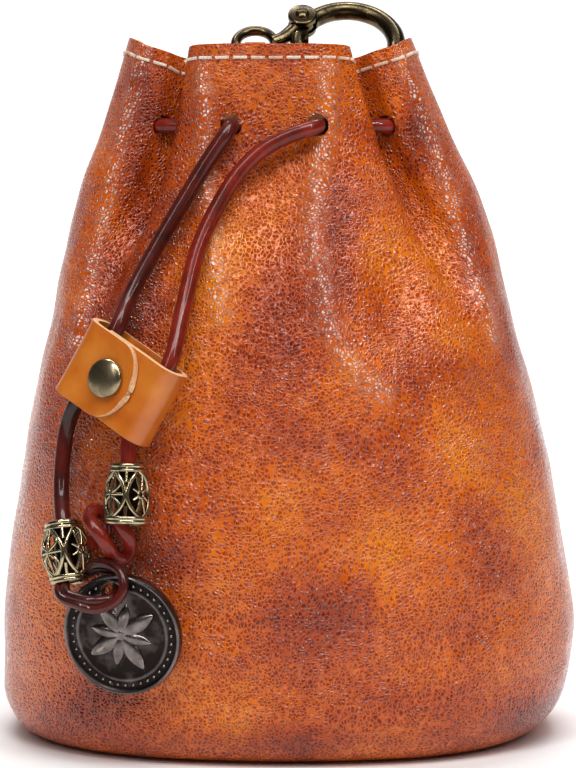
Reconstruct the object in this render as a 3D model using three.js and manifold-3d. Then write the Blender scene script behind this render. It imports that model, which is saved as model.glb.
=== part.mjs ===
// A small drawstring belt pouch of glossy tan leather. The front faces -Y and the base rests on z = 0.
// All lengths are millimetres.
import * as THREE from "three";
import { mergeVertices } from "three/addons/utils/BufferGeometryUtils.js";
import Module from "manifold-3d";

const wasm = await Module();
wasm.setup();

// The bag
const BAG_HEIGHT = 127;
const BAG_HALF_WIDTH = 53.0;
const BAG_HALF_DEPTH = 37.5;
const WALL = 1.6;
const EDGE_IN = 8; // the rounded lower edge, across
const EDGE_UP = 10; // and upwards
const SAG = 3.5; // of the lower corner on the right
const SAG_HEIGHT = 22;
const TURN_UNDER = 3; // how far the wall runs on beneath the bag
const BASE_THICKNESS = 2;
const OVAL_POWER = 2.25; // 2 is an ellipse, more is boxier
const GAP = 0.3; // between pieces that touch on the real bag

// The cord
const CORD_RADIUS = 1.5;
const CORD_SIDES = 8;
const LACING_STEPS = 38;
const HOLE_CLEARANCE = 0.5;

// The slider on the two tails
const STRAP_HALF_LENGTH = 10;
const STRAP_THICKNESS = 1.2;
const STRAP_CORNER = 2.8;
const STRAP_ROOM = 0.6; // round the cords
const FLAP_END = 3.4; // from the slider's middle to the round end of the outer layer
const RIVET_OFFSET = -1.2;
const RIVET_CAP_RADIUS = 3;
const RIVET_CAP_HEIGHT = 1.5;
const RIVET_SHANK_RADIUS = 0.9;

// The beads and the pendant
const BELL_RADIUS = 4.15;
const BARREL_RADIUS = 4.3;
const BEAD_WALL = 0.8;
const BEAD_SIDES = 14;
const ROSETTES = 4;
const ROSETTE_SHARE = 0.78; // of the wall that each rosette takes up, both ways
const ROSETTE_MIDDLE = 0.47; // share of the bead's length
const RIB = 0.5;
const DISC_RADIUS = 10.6;
const DISC_THICKNESS = 1.8;
const DISC_HOLE_RADIUS = 2.1;
const DISC_HOLE_INSET = 3.4;
const RELIEF_HEIGHT = 0.5;
const RIM_WIDTH = 0.9;
const DISC_LEAN = 11; // degrees that the hole lies left of the top
const STAR_RAYS = 8;
const STAR_RAY_LENGTH = 5.2;
const STAR_RAY_WIDTH = 2.4;

// The snap hook
const EYE_RADIUS = 3.65; // to the middle of its wire
const EYE_WIRE = 0.95;
const HOOK_RADIUS = 9.2; // to the middle of its wire
const HOOK_WIRE = 1.75;
const HOOK_OFFSET = 17.1; // from the eye's middle to the hook's
const PIVOT_ANGLE = 143; // degrees round the hook, from its right side
const PIVOT_OUTSET = 1.2; // of the pivot from the middle of the hook's wire
const PIVOT_LUG_RADIUS = 2.7;
const LUG_THICKNESS = 4;
const NECK_THICKNESS = 3;
const PIN_RADIUS = 0.7;
const PIN_HEAD_RADIUS = 1.3;
const PIN_HEAD_HEIGHT = 0.5;
const GATE_WIRE = 1.45;
const TONGUE_THICKNESS = 1.3;
const GATE_START = 167; // degrees round the hook
const TIP_DROP = 4.9; // from the hook's middle down to where the gate meets the tip
const HOOK_TILT = 45; // degrees that the hook leans back
const HOOK_PLACE = [-6.1, 10.2, BAG_HEIGHT - 0.6]; // the middle of its eye
const TAB_HALF_WIDTH = 1.9;
const TAB_THICKNESS = 1;
const TAB_END = 3.2; // below the hanger's rivet
const HANGER_RIVET_RADIUS = 0.8;
const HANGER_CAP_RADIUS = 2.2;
const HANGER_CAP_HEIGHT = 0.8;

// Levels of the outer leather. height is a share of BAG_HEIGHT, width of BAG_HALF_WIDTH and depth of
// BAG_HALF_DEPTH. gather says how far the folds have formed, and lean is a share of BAG_HALF_WIDTH.
const LEVELS = [
  { height: 0.0, width: 1.0, depth: 1.0, gather: 0.0, lean: 0.0 },
  { height: 0.088, width: 0.998, depth: 1.0, gather: 0.0, lean: 0.0 },
  { height: 0.167, width: 0.996, depth: 1.0, gather: 0.0, lean: 0.0 },
  { height: 0.287, width: 0.96, depth: 0.975, gather: 0.0, lean: -0.004 },
  { height: 0.407, width: 0.907, depth: 0.915, gather: 0.0, lean: -0.009 },
  { height: 0.525, width: 0.849, depth: 0.825, gather: 0.03, lean: -0.015 },
  { height: 0.615, width: 0.796, depth: 0.73, gather: 0.12, lean: -0.02 },
  { height: 0.684, width: 0.756, depth: 0.632, gather: 0.32, lean: -0.024 },
  { height: 0.744, width: 0.718, depth: 0.53, gather: 0.6, lean: -0.029 },
  { height: 0.803, width: 0.67, depth: 0.442, gather: 0.88, lean: -0.037 },
  { height: 0.868, width: 0.602, depth: 0.372, gather: 1.0, lean: -0.045 },
  { height: 1.0, width: 0.487, depth: 0.352, gather: 1.0, lean: -0.061 },
];

// Folds of the neck, from the middle of the front or back to the side. turn is a share of the quarter
// turn round the belly, x and y are shares of the level's half width and half depth, and rim is the
// share of BAG_HEIGHT at which the leather ends there.
const FRONT_FOLDS = [
  { name: "centre", turn: 0, x: 0, y: 1.0, rim: 0.989, facets: 2 },
  { name: "ridge", turn: 0.27, x: 0.33, y: 0.98, rim: 0.989, facets: 2 },
  { name: "edge", turn: 0.44, x: 0.56, y: 0.657, rim: 0.986, facets: 2 },
  { name: "side", turn: 0.51, x: 0.535, y: 0.4, rim: 0.975, facets: 1 },
  { name: "valley", turn: 0.57, x: 0.468, y: 0.2, rim: 0.968, facets: 2 },
  { name: "shoulder", turn: 0.635, x: 0.605, y: 0.264, rim: 0.972, facets: 1 },
  { name: "brow", turn: 0.73, x: 0.72, y: 0.45, rim: 0.98, facets: 2 },
  { name: "wing", turn: 0.83, x: 0.876, y: 0.42, rim: 0.99, facets: 2 },
  { name: "tip", turn: 1, x: 1.0, y: 0, rim: 1.0, facets: 2 },
];
const BACK_FOLDS = [
  { name: "centre", turn: 0, x: 0, y: 0.95, rim: 0.96, facets: 2 },
  { name: "ridge", turn: 0.27, x: 0.33, y: 1.0, rim: 0.96, facets: 2 },
  { name: "edge", turn: 0.44, x: 0.5, y: 0.92, rim: 0.957, facets: 2 },
  { name: "side", turn: 0.51, x: 0.56, y: 0.78, rim: 0.952, facets: 1 },
  { name: "valley", turn: 0.57, x: 0.62, y: 0.66, rim: 0.948, facets: 2 },
  { name: "shoulder", turn: 0.64, x: 0.69, y: 0.62, rim: 0.943, facets: 1 },
  { name: "brow", turn: 0.73, x: 0.76, y: 0.62, rim: 0.94, facets: 2 },
  { name: "wing", turn: 0.83, x: 0.9, y: 0.5, rim: 0.95, facets: 2 },
  { name: "tip", turn: 1, x: 1.0, y: 0, rim: 1.0, facets: 2 },
];
const WALL_HEIGHTS = [0.087, 0.165, 0.28, 0.39, 0.49, 0.58, 0.65, 0.71, 0.765, 0.815, 0.866, 0.925, 1.0];
const EDGE_STEPS = 3;

// The cords' points keep their share of the bag's height. They were measured on one 127 tall.
const HEIGHT_SCALE = BAG_HEIGHT / 127;

// The drawstring inside and across the folds, from the right-hand hole of the front round the back to
// the left-hand one, at the height of the holes.
const LACING_HEIGHT = 111.1 * HEIGHT_SCALE;
const HANGER_HEIGHT = LACING_HEIGHT + 5.7; // of the rivet through the tab of the hook
const LACING_MIDDLE = -2.4;
const LACING_HALF = [
  [7.7, -14.0],
  [7.8, -11.6],
  [9.5, -8.9],
  [13.0, -6.7],
  [16.8, -5.5],
  [20.2, -4.5],
  [23.1, -2.4],
  [24.7, 1.0],
  [24.5, 5.0],
  [23.6, 8.8],
  [21.3, 11.2],
  [18.1, 11.1],
  [14.4, 9.3],
  [7.9, 9.4],
];

// The tails, from the holes of the front to the slider, through it, and down to the beads.
const LEFT_TAIL = [
  [-10.1, -14.6, 111.1],
  [-10.2, -15.7, 110.8],
  [-11.2, -16.8, 109.2],
  [-13.4, -17.3, 106.0],
  [-17.3, -18.2, 99.7],
  [-23.8, -21.5, 88.5],
  [-27.8, -24.9, 80.9],
];
const LEFT_IN_SLIDER = [
  [-29.8, -28.2, 75.8],
  [-36.5, -26.9, 63.6],
];
const LEFT_BELOW = [
  [-38.6, -25.1, 58.6],
  [-39.5, -25.7, 52.4],
  [-39.6, -27.5, 46.9],
];
const RIGHT_TAIL = [
  [5.3, -14.6, 111.1],
  [5.1, -15.7, 111.0],
  [3.6, -16.8, 110.4],
  [-0.5, -17.0, 108.9],
  [-4.5, -17.4, 106.7],
  [-8.5, -18.7, 102.9],
  [-12.0, -20.7, 97.5],
  [-15.5, -23.8, 90.1],
  [-18.1, -28.8, 79.6],
];
const RIGHT_IN_SLIDER = [
  [-20.5, -34.8, 69.7],
  [-27.2, -33.4, 57.5],
];
// Where each bead's two ends lie on its cord.
const BELL_BEAD_ENDS = [
  [-27.5, -34.5, 53.0],
  [-27.7, -36.2, 43.1],
];
const BARREL_BEAD_ENDS = [
  [-39.0, -31.1, 42.5],
  [-37.7, -34.0, 32.6],
];

// The knot below the bell bead: a turn of cord in three strands that run into each other.
const KNOT_STRANDS = [
  [[-27.75, -36.31, 42.63], [-27.8, -36.4, 41.7], [-29.9, -34.4, 39.7], [-33.3, -32.8, 38.7]],
  [[-33.2, -32.7, 41.7], [-32.0, -34.3, 41.3], [-29.7, -36.4, 39.7], [-27.5, -36.6, 38.2]],
  [[-27.5, -36.0, 39.0], [-27.1, -35.4, 37.8], [-28.9, -34.8, 37.0], [-31.1, -34.1, 37.4]],
];

// The loop of cord that comes out of the barrel bead and carries the disc.
const PENDANT_LOOP = [
  [-37.66, -34.14, 32.14],
  [-37.5, -34.6, 30.9],
  [-39.1, -37.1, 29.5],
  [-37.1, -39.5, 27.7],
  [-33.6, -40.0, 27.2],
  [-30.9, -41.1, 28.5],
  [-30.4, -40.5, 30.4],
  [-29.9, -37.7, 30.4],
  [-29.1, -35.1, 31.1],
  [-30.9, -34.2, 33.3],
  [-32.9, -33.2, 31.8],
  [-34.5, -32.7, 29.5],
];
const DISC_CENTRE = [-28.3, -37.5, 23.2];
const DISC_FACING = [-0.3, -0.94, -0.12];

const colours = {
  leather: { color: "#b5592c", roughness: 0.35, metalness: 0 },
  tan: { color: "#c8742f", roughness: 0.45, metalness: 0 },
  cord: { color: "#5e1a12", roughness: 0.3, metalness: 0 },
  brass: { color: "#5d4a2c", roughness: 0.35, metalness: 1 },
  rivet: { color: "#958264", roughness: 0.3, metalness: 1 },
  pewter: { color: "#5a5453", roughness: 0.35, metalness: 1 },
};

const bag = new THREE.Group();

function addPiece(name, geometry, look, parent = bag) {
  const piece = new THREE.Mesh(geometry, new THREE.MeshStandardMaterial(look));
  piece.name = name;
  parent.add(piece);
  return piece;
}

const vector = (point) => new THREE.Vector3(...point);
const onBag = ([x, y, z]) => new THREE.Vector3(x, y, z * HEIGHT_SCALE);

// Booleans

function toSolid(geometry) {
  const bare = geometry.clone();
  bare.deleteAttribute("normal");
  bare.deleteAttribute("uv");
  const merged = mergeVertices(bare, 1e-4);
  const mesh = new wasm.Mesh({
    numProp: 3,
    vertProperties: merged.attributes.position.array,
    triVerts: new Uint32Array(merged.index.array),
  });
  return new wasm.Manifold(mesh);
}

function toGeometry(solid) {
  const mesh = solid.getMesh();
  const geometry = new THREE.BufferGeometry();
  geometry.setAttribute("position", new THREE.BufferAttribute(mesh.vertProperties, 3));
  geometry.setIndex(new THREE.BufferAttribute(mesh.triVerts, 1));
  return geometry;
}

const joined = (geometries) => geometries.map(toSolid).reduce((all, next) => all.add(next));

const cut = (solid, cutters) => cutters.map(toSolid).reduce((left, cutter) => left.subtract(cutter), solid);

// Basic shapes

function circleShape(radius, sides) {
  const turns = Array.from({ length: sides }, (_, i) => ((i + 0.5) / sides) * 2 * Math.PI);
  return new THREE.Shape(turns.map((t) => new THREE.Vector2(radius * Math.cos(t), radius * Math.sin(t))));
}

function tube(points, radius, sides, steps, closed = false) {
  const path = new THREE.CatmullRomCurve3(points, closed, "centripetal");
  return new THREE.ExtrudeGeometry(circleShape(radius, sides), { steps, extrudePath: path });
}

// A tube with a step about every two diameters.
function cordTube(points) {
  const path = new THREE.CatmullRomCurve3(points, false, "centripetal");
  return tube(points, CORD_RADIUS, CORD_SIDES, Math.ceil(path.getLength() / (4 * CORD_RADIUS)));
}

// A solid of revolution about local Z whose profile closes on itself.
function turned(profile, sides) {
  const points = [...profile, profile[0]].map(([radius, z]) => new THREE.Vector2(radius, z));
  const geometry = new THREE.LatheGeometry(points, sides);
  geometry.rotateX(Math.PI / 2);
  return geometry;
}

// A turned solid whose profile starts and ends on the axis.
function turnedPin(profile, sides) {
  const points = profile.map(([radius, z]) => new THREE.Vector2(radius, z));
  const geometry = new THREE.LatheGeometry(points, sides);
  geometry.rotateX(Math.PI / 2);
  return geometry;
}

function block(x, y, z, at = [0, 0, 0]) {
  const geometry = new THREE.BoxGeometry(x, y, z);
  geometry.translate(...at);
  return geometry;
}

// The bag's leather

// A column of LEVELS at a height, on a smooth curve through its rows.
function atLevel(name, height) {
  const last = LEVELS.length - 1;
  const next = Math.max(1, LEVELS.findIndex((row) => row.height >= height));
  const row = (i) => LEVELS[Math.min(Math.max(i, 0), last)];
  const [before, from, to, after] = [row(next - 2), row(next - 1), row(next), row(next + 1)];
  const span = to.height - from.height;
  const startSlope = ((to[name] - before[name]) / (to.height - before.height)) * span;
  const endSlope = ((after[name] - from[name]) / (after.height - from.height)) * span;
  const t = (height - from.height) / span;
  const rest = 1 - t;
  const start = rest * rest * ((1 + 2 * t) * from[name] + t * startSlope);
  const end = t * t * ((3 - 2 * t) * to[name] - rest * endSlope);
  return start + end;
}

// The folds all the way round, each with the side of the bag that it is on.
const around = [
  ...FRONT_FOLDS.map((fold) => ({ ...fold, right: 1, back: -1 })),
  ...BACK_FOLDS.slice(0, -1).reverse().map((fold) => ({ ...fold, right: 1, back: 1 })),
  ...BACK_FOLDS.slice(1).map((fold) => ({ ...fold, right: -1, back: 1 })),
  ...FRONT_FOLDS.slice(1, -1).reverse().map((fold) => ({ ...fold, right: -1, back: -1 })),
];

// One closed row of the outer leather.
function leatherRow(height) {
  const halfWidth = atLevel("width", height) * BAG_HALF_WIDTH;
  const halfDepth = atLevel("depth", height) * BAG_HALF_DEPTH;
  const gather = atLevel("gather", height);
  const lean = atLevel("lean", height) * BAG_HALF_WIDTH;
  const towardsRim = THREE.MathUtils.smoothstep(height, 0.86, 1);
  const keys = around.map(({ turn, x, y, rim, right, back }) => {
    const angle = (turn * Math.PI) / 2;
    const bellyX = Math.sin(angle) ** (2 / OVAL_POWER);
    const bellyY = Math.max(Math.cos(angle), 0) ** (2 / OVAL_POWER);
    return new THREE.Vector3(
      lean + right * halfWidth * THREE.MathUtils.lerp(bellyX, x, gather),
      back * halfDepth * THREE.MathUtils.lerp(bellyY, y, gather),
      BAG_HEIGHT * (height - (1 - rim) * towardsRim),
    );
  });
  const curve = new THREE.CatmullRomCurve3(keys, true, "centripetal");
  return around.flatMap(({ facets }, i) =>
    Array.from({ length: facets }, (_, step) => curve.getPoint((i + step / facets) / keys.length)),
  );
}

// A row moved inwards and set at a height z.
function insetRow(row, inset, z) {
  return row.map((point, i) => {
    const along = row[(i + 1) % row.length].clone().sub(row.at(i - 1));
    const out = new THREE.Vector3(along.y, -along.x, 0).normalize();
    return new THREE.Vector3(point.x, point.y, z).addScaledVector(out, -inset);
  });
}

// The lower corner on the right sags inwards.
function sagged(row) {
  return row.map((point) => {
    const right = THREE.MathUtils.smoothstep(point.x / BAG_HALF_WIDTH, 0.3, 1);
    const low = Math.max(1 - point.z / SAG_HEIGHT, 0);
    return point.clone().setX(point.x - SAG * right * low * low);
  });
}

function leatherRows() {
  const lowest = leatherRow(WALL_HEIGHTS[0]);
  const rows = [insetRow(lowest, EDGE_IN + TURN_UNDER, 0)];
  for (let step = 0; step < EDGE_STEPS; step += 1) {
    const angle = (step / EDGE_STEPS) * (Math.PI / 2);
    rows.push(insetRow(lowest, EDGE_IN * (1 - Math.sin(angle)), EDGE_UP * (1 - Math.cos(angle))));
  }
  return [...rows, ...WALL_HEIGHTS.map(leatherRow)].map(sagged);
}

// The rows moved inwards through the leather.
function liningRows(rows) {
  const last = rows.length - 1;
  return rows.map((row, level) =>
    row.map((point, i) => {
      const along = row[(i + 1) % row.length].clone().sub(row.at(i - 1));
      const up = rows[Math.min(level + 1, last)][i].clone().sub(rows[Math.max(level - 1, 0)][i]);
      return point.clone().addScaledVector(along.cross(up).normalize(), -WALL);
    }),
  );
}

function bagWall() {
  const outer = leatherRows();
  const loops = [...outer, ...liningRows(outer).reverse()];
  const count = outer[0].length;
  const indices = [];
  loops.forEach((_, level) => {
    const next = (level + 1) % loops.length;
    for (let i = 0; i < count; i += 1) {
      const j = (i + 1) % count;
      const [a, b, c, d] = [level * count + i, level * count + j, next * count + j, next * count + i];
      indices.push(a, b, c, a, c, d);
    }
  });
  const geometry = new THREE.BufferGeometry();
  geometry.setFromPoints(loops.flat());
  geometry.setIndex(indices);
  return geometry;
}

function basePanel() {
  const outline = sagged(insetRow(leatherRow(WALL_HEIGHTS[0]), EDGE_IN + TURN_UNDER + GAP, 0));
  const shape = new THREE.Shape(outline.map((point) => new THREE.Vector2(point.x, point.y)));
  return new THREE.ExtrudeGeometry(shape, { depth: BASE_THICKNESS, bevelEnabled: false });
}

// The drawstring through the neck

const lacingPoint = (side) => ([x, y]) => new THREE.Vector3(LACING_MIDDLE + side * x, y, LACING_HEIGHT);
const lacingRoute = [
  ...LACING_HALF.map(lacingPoint(1)),
  ...LACING_HALF.map(lacingPoint(-1)).reverse(),
];

function lacingHoles() {
  const ends = [lacingRoute[0], lacingRoute.at(-1)].map((end) => end.clone().setY(end.y - 2 * WALL));
  const route = [ends[0], ...lacingRoute, ends[1]];
  return tube(route, CORD_RADIUS + HOLE_CLEARANCE, CORD_SIDES, LACING_STEPS);
}

addPiece("pouch_base", basePanel(), colours.leather);
addPiece("drawstring_lacing", tube(lacingRoute, CORD_RADIUS, CORD_SIDES, LACING_STEPS), colours.cord);

// The tails, each a free cord

const leftTail = [...LEFT_TAIL, ...LEFT_IN_SLIDER, ...LEFT_BELOW, ...BARREL_BEAD_ENDS].map(onBag);
const rightTail = [...RIGHT_TAIL, ...RIGHT_IN_SLIDER, ...BELL_BEAD_ENDS].map(onBag);
addPiece("drawstring_tail_left", cordTube(leftTail), colours.cord);
addPiece("drawstring_tail_right", cordTube(rightTail), colours.cord);

// The slider: X runs from the left tail to the right one, Y is its outer face and Z runs up the tails.

const threaded = [LEFT_IN_SLIDER, RIGHT_IN_SLIDER].map((pair) => pair.map(onBag));
const sliderUp = threaded[0][0].clone().sub(threaded[0][1]);
const strapHalfWidth = sliderUp.length() / 2;
const sliderAcross = threaded[1][0].clone().sub(threaded[0][0]);
sliderUp.normalize();
const sliderOut = new THREE.Vector3().crossVectors(sliderAcross, sliderUp).normalize();
sliderAcross.crossVectors(sliderUp, sliderOut);

const slider = new THREE.Group();
const middle = threaded.flat().reduce((sum, point) => sum.add(point), new THREE.Vector3()).divideScalar(4);
slider.matrix.makeBasis(sliderAcross, sliderOut.clone().negate(), sliderUp).setPosition(middle);
slider.matrix.decompose(slider.position, slider.quaternion, slider.scale);
bag.add(slider);

const strapHalfThickness = CORD_RADIUS + STRAP_ROOM + STRAP_THICKNESS;

function roundedOutline(path, halfLength, halfHeight, radius) {
  const [x, y] = [halfLength - radius, halfHeight - radius];
  path.absarc(x, y, radius, 0, Math.PI / 2);
  path.absarc(-x, y, radius, Math.PI / 2, Math.PI);
  path.absarc(-x, -y, radius, Math.PI, Math.PI * 1.5);
  path.absarc(x, -y, radius, Math.PI * 1.5, Math.PI * 2);
  return path;
}

function rivetHole() {
  const geometry = new THREE.CylinderGeometry(RIVET_SHANK_RADIUS + GAP, RIVET_SHANK_RADIUS + GAP, 20, 12);
  geometry.translate(RIVET_OFFSET, 0, 0);
  return geometry;
}

function sliderStrap() {
  const band = roundedOutline(new THREE.Shape(), STRAP_HALF_LENGTH, strapHalfThickness, STRAP_CORNER);
  const inner = [STRAP_HALF_LENGTH, strapHalfThickness, STRAP_CORNER].map((size) => size - STRAP_THICKNESS);
  band.holes.push(roundedOutline(new THREE.Path(), ...inner));
  const wrap = new THREE.ExtrudeGeometry(band, {
    depth: 2 * strapHalfWidth,
    bevelEnabled: false,
    curveSegments: 4,
  });
  wrap.translate(0, 0, -strapHalfWidth);

  const flap = new THREE.Shape();
  const endDepth = strapHalfWidth * 0.75;
  flap.moveTo(STRAP_CORNER - STRAP_HALF_LENGTH, -strapHalfWidth);
  flap.lineTo(FLAP_END - endDepth, -strapHalfWidth);
  flap.absellipse(FLAP_END - endDepth, 0, endDepth, strapHalfWidth, -Math.PI / 2, Math.PI / 2, false);
  flap.lineTo(STRAP_CORNER - STRAP_HALF_LENGTH, strapHalfWidth);
  const layer = new THREE.ExtrudeGeometry(flap, {
    depth: 2 * STRAP_THICKNESS,
    bevelEnabled: false,
    curveSegments: 10,
  });
  layer.rotateX(Math.PI / 2);
  layer.translate(0, -strapHalfThickness + STRAP_THICKNESS, 0);
  return toGeometry(cut(joined([wrap, layer]), [rivetHole()]));
}

function sliderRivet() {
  const front = strapHalfThickness + STRAP_THICKNESS + GAP;
  const back = -strapHalfThickness - GAP;
  const geometry = turnedPin(
    [
      [0, back - RIVET_CAP_HEIGHT / 3],
      [RIVET_CAP_RADIUS * 0.7, back - RIVET_CAP_HEIGHT / 3],
      [RIVET_CAP_RADIUS * 0.8, back],
      [RIVET_SHANK_RADIUS, back],
      [RIVET_SHANK_RADIUS, front],
      [RIVET_CAP_RADIUS, front],
      [RIVET_CAP_RADIUS, front + RIVET_CAP_HEIGHT * 0.4],
      [RIVET_CAP_RADIUS * 0.75, front + RIVET_CAP_HEIGHT * 0.8],
      [RIVET_CAP_RADIUS * 0.4, front + RIVET_CAP_HEIGHT * 0.97],
      [0, front + RIVET_CAP_HEIGHT],
    ],
    16,
  );
  geometry.rotateX(Math.PI / 2);
  geometry.translate(RIVET_OFFSET, 0, 0);
  return geometry;
}

addPiece("slider_strap", sliderStrap(), colours.tan, slider);
addPiece("slider_rivet", sliderRivet(), colours.rivet, slider);

// The beads: local Z runs up each bead's cord.

// Half widths of a bead. height is a share of its length and radius of its widest.
const BELL_PROFILE = [
  { height: 1.0, radius: 0.7 },
  { height: 0.93, radius: 0.72 },
  { height: 0.7, radius: 0.86 },
  { height: 0.4, radius: 0.96 },
  { height: 0.08, radius: 0.98 },
  { height: 0.0, radius: 1.0 },
];
const BARREL_PROFILE = [
  { height: 1.0, radius: 0.7 },
  { height: 0.9, radius: 0.78 },
  { height: 0.62, radius: 1.0 },
  { height: 0.38, radius: 1.0 },
  { height: 0.12, radius: 0.8 },
  { height: 0.0, radius: 0.74 },
];

function upright(ends) {
  const [top, bottom] = ends.map(onBag);
  const holder = new THREE.Group();
  holder.position.copy(bottom);
  holder.quaternion.setFromUnitVectors(new THREE.Vector3(0, 0, 1), top.sub(bottom).normalize());
  bag.add(holder);
  return holder;
}

// A bead with rosettes of four windows each cut through its wall.
function filigreeBead(ends, profile, beadRadius) {
  const length = onBag(ends[0]).distanceTo(onBag(ends[1]));
  const outer = profile.map(({ height, radius }) => [radius * beadRadius, height * length]);
  const inner = outer.map(([radius, z]) => [Math.max(radius - BEAD_WALL, CORD_RADIUS + GAP), z]).reverse();
  const windows = [];
  for (let rosette = 0; rosette < ROSETTES; rosette += 1) {
    for (const [across, up] of [[1, 1], [-1, 1], [-1, -1], [1, -1]]) {
      windows.push(rosetteWindow(across, up, beadRadius, length, (rosette / ROSETTES) * 2 * Math.PI));
    }
  }
  return toGeometry(cut(toSolid(turned([...outer.reverse(), ...inner.reverse()], BEAD_SIDES)), windows));
}

// One quarter of an oval, with half a rib left at each straight side, as a cutter through the bead's wall.
function rosetteWindow(across, up, beadRadius, length, turn) {
  const halfWidth = (ROSETTE_SHARE * Math.PI * beadRadius) / ROSETTES;
  const halfHeight = ROSETTE_SHARE * length * 0.5;
  const rib = RIB / 2;
  const quarter = [0, 30, 60, 90].map((degrees) => {
    const angle = THREE.MathUtils.degToRad(degrees);
    return [Math.max(halfWidth * Math.cos(angle), rib), Math.max(halfHeight * Math.sin(angle), rib)];
  });
  const outline = [[rib, rib], ...quarter].map(([x, y]) => new THREE.Vector2(across * x, up * y));
  const shape = new THREE.Shape(across * up > 0 ? outline : outline.reverse());
  const geometry = new THREE.ExtrudeGeometry(shape, { depth: beadRadius, bevelEnabled: false });
  geometry.translate(0, 0, CORD_RADIUS);
  geometry.rotateX(Math.PI / 2);
  geometry.translate(0, 0, length * ROSETTE_MIDDLE);
  geometry.rotateZ(turn);
  return geometry;
}

const bell = filigreeBead(BELL_BEAD_ENDS, BELL_PROFILE, BELL_RADIUS);
const barrel = filigreeBead(BARREL_BEAD_ENDS, BARREL_PROFILE, BARREL_RADIUS);
addPiece("bell_bead", bell, colours.brass, upright(BELL_BEAD_ENDS));
addPiece("barrel_bead", barrel, colours.brass, upright(BARREL_BEAD_ENDS));

// The knot, and the loop with its disc

const knotStrands = KNOT_STRANDS.map((points) => cordTube(points.map(onBag)));
addPiece("cord_knot", toGeometry(joined(knotStrands)), colours.cord);
addPiece("pendant_loop", tube(PENDANT_LOOP.map(onBag), CORD_RADIUS, CORD_SIDES, 22), colours.cord);

// A disc with a raised edge and a raised star of plain rays. Local Z is its face and Y points up it.
function pendantDisc() {
  const face = DISC_THICKNESS / 2;
  const disc = turnedPin(
    [
      [0, -face],
      [DISC_RADIUS, -face],
      [DISC_RADIUS, face + RELIEF_HEIGHT],
      [DISC_RADIUS - RIM_WIDTH, face + RELIEF_HEIGHT],
      [DISC_RADIUS - RIM_WIDTH - RELIEF_HEIGHT, face],
      [0, face],
    ],
    36,
  );
  const rays = Array.from({ length: STAR_RAYS }, (_, i) => {
    const ray = new THREE.CylinderGeometry(0, STAR_RAY_WIDTH / 2, STAR_RAY_LENGTH, 4);
    ray.translate(0, STAR_RAY_LENGTH / 2, face);
    ray.rotateZ(((i + 0.5) / STAR_RAYS) * 2 * Math.PI);
    return ray;
  });
  const boss = new THREE.CylinderGeometry(STAR_RAY_WIDTH * 0.7, STAR_RAY_WIDTH, 2 * RELIEF_HEIGHT, 16);
  boss.rotateX(Math.PI / 2);
  boss.translate(0, 0, face);
  const hole = new THREE.CylinderGeometry(DISC_HOLE_RADIUS, DISC_HOLE_RADIUS, 4 * DISC_THICKNESS, 16);
  hole.rotateX(Math.PI / 2);
  hole.translate(0, DISC_RADIUS - DISC_HOLE_INSET, 0);
  return toGeometry(cut(joined([disc, boss, ...rays]), [hole]));
}

const pendant = new THREE.Group();
pendant.position.copy(onBag(DISC_CENTRE));
const facing = vector(DISC_FACING).normalize();
const discUp = new THREE.Vector3(-Math.tan(THREE.MathUtils.degToRad(DISC_LEAN)), 0, 1);
const discRight = new THREE.Vector3().crossVectors(discUp, facing).normalize();
discUp.crossVectors(facing, discRight);
pendant.quaternion.setFromRotationMatrix(new THREE.Matrix4().makeBasis(discRight, discUp, facing));
bag.add(pendant);
addPiece("pendant_disc", pendantDisc(), colours.pewter, pendant);

// The snap hook leans back over the rim of the back. Local X runs from the eye to the hook, Z is its face.

const snapHook = new THREE.Group();
snapHook.position.set(...HOOK_PLACE);
snapHook.rotation.x = THREE.MathUtils.degToRad(HOOK_TILT);
bag.add(snapHook);

function onHook(degrees, radius = HOOK_RADIUS) {
  const angle = THREE.MathUtils.degToRad(degrees);
  return new THREE.Vector3(HOOK_OFFSET + radius * Math.cos(angle), radius * Math.sin(angle), 0);
}

function hookArc(from, to, radius, sides, steps) {
  const points = Array.from({ length: steps + 1 }, (_, i) => onHook(from + ((to - from) * i) / steps));
  return tube(points, radius, sides, steps);
}

const pivot = onHook(PIVOT_ANGLE, HOOK_RADIUS + PIVOT_OUTSET);

function disc(radius, thickness, at = pivot, sides = 20) {
  const geometry = new THREE.CylinderGeometry(radius, radius, thickness, sides);
  geometry.rotateX(Math.PI / 2);
  geometry.translate(at.x, at.y, 0);
  return geometry;
}

function hookBody() {
  const eye = new THREE.TorusGeometry(EYE_RADIUS, EYE_WIRE, 8, 20);
  const neckStart = EYE_RADIUS * Math.SQRT1_2;
  const neckShape = new THREE.Shape();
  neckShape.moveTo(EYE_RADIUS, -EYE_WIRE);
  neckShape.lineTo(pivot.x - 0.7 * PIVOT_LUG_RADIUS, pivot.y - 0.7 * PIVOT_LUG_RADIUS);
  neckShape.lineTo(pivot.x, pivot.y);
  neckShape.lineTo(pivot.x - 0.5 * PIVOT_LUG_RADIUS, pivot.y + 0.8 * PIVOT_LUG_RADIUS);
  neckShape.lineTo(neckStart, neckStart);
  const neck = new THREE.ExtrudeGeometry(neckShape, { depth: NECK_THICKNESS, bevelEnabled: false });
  neck.translate(0, 0, -NECK_THICKNESS / 2);
  const arch = hookArc(PIVOT_ANGLE - 4, -152, HOOK_WIRE, 10, 20);
  const lug = disc(PIVOT_LUG_RADIUS, LUG_THICKNESS);
  const slot = disc(PIVOT_LUG_RADIUS + GAP, TONGUE_THICKNESS + 2 * GAP);
  const tipTrim = block(HOOK_RADIUS, TIP_DROP, 4 * HOOK_WIRE, [HOOK_OFFSET - HOOK_RADIUS, -TIP_DROP / 2, 0]);
  const pinHole = disc(PIN_RADIUS + GAP, 2 * LUG_THICKNESS, pivot, 12);
  return toGeometry(cut(joined([eye, neck, arch, lug]), [slot, tipTrim, pinHole]));
}

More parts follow.
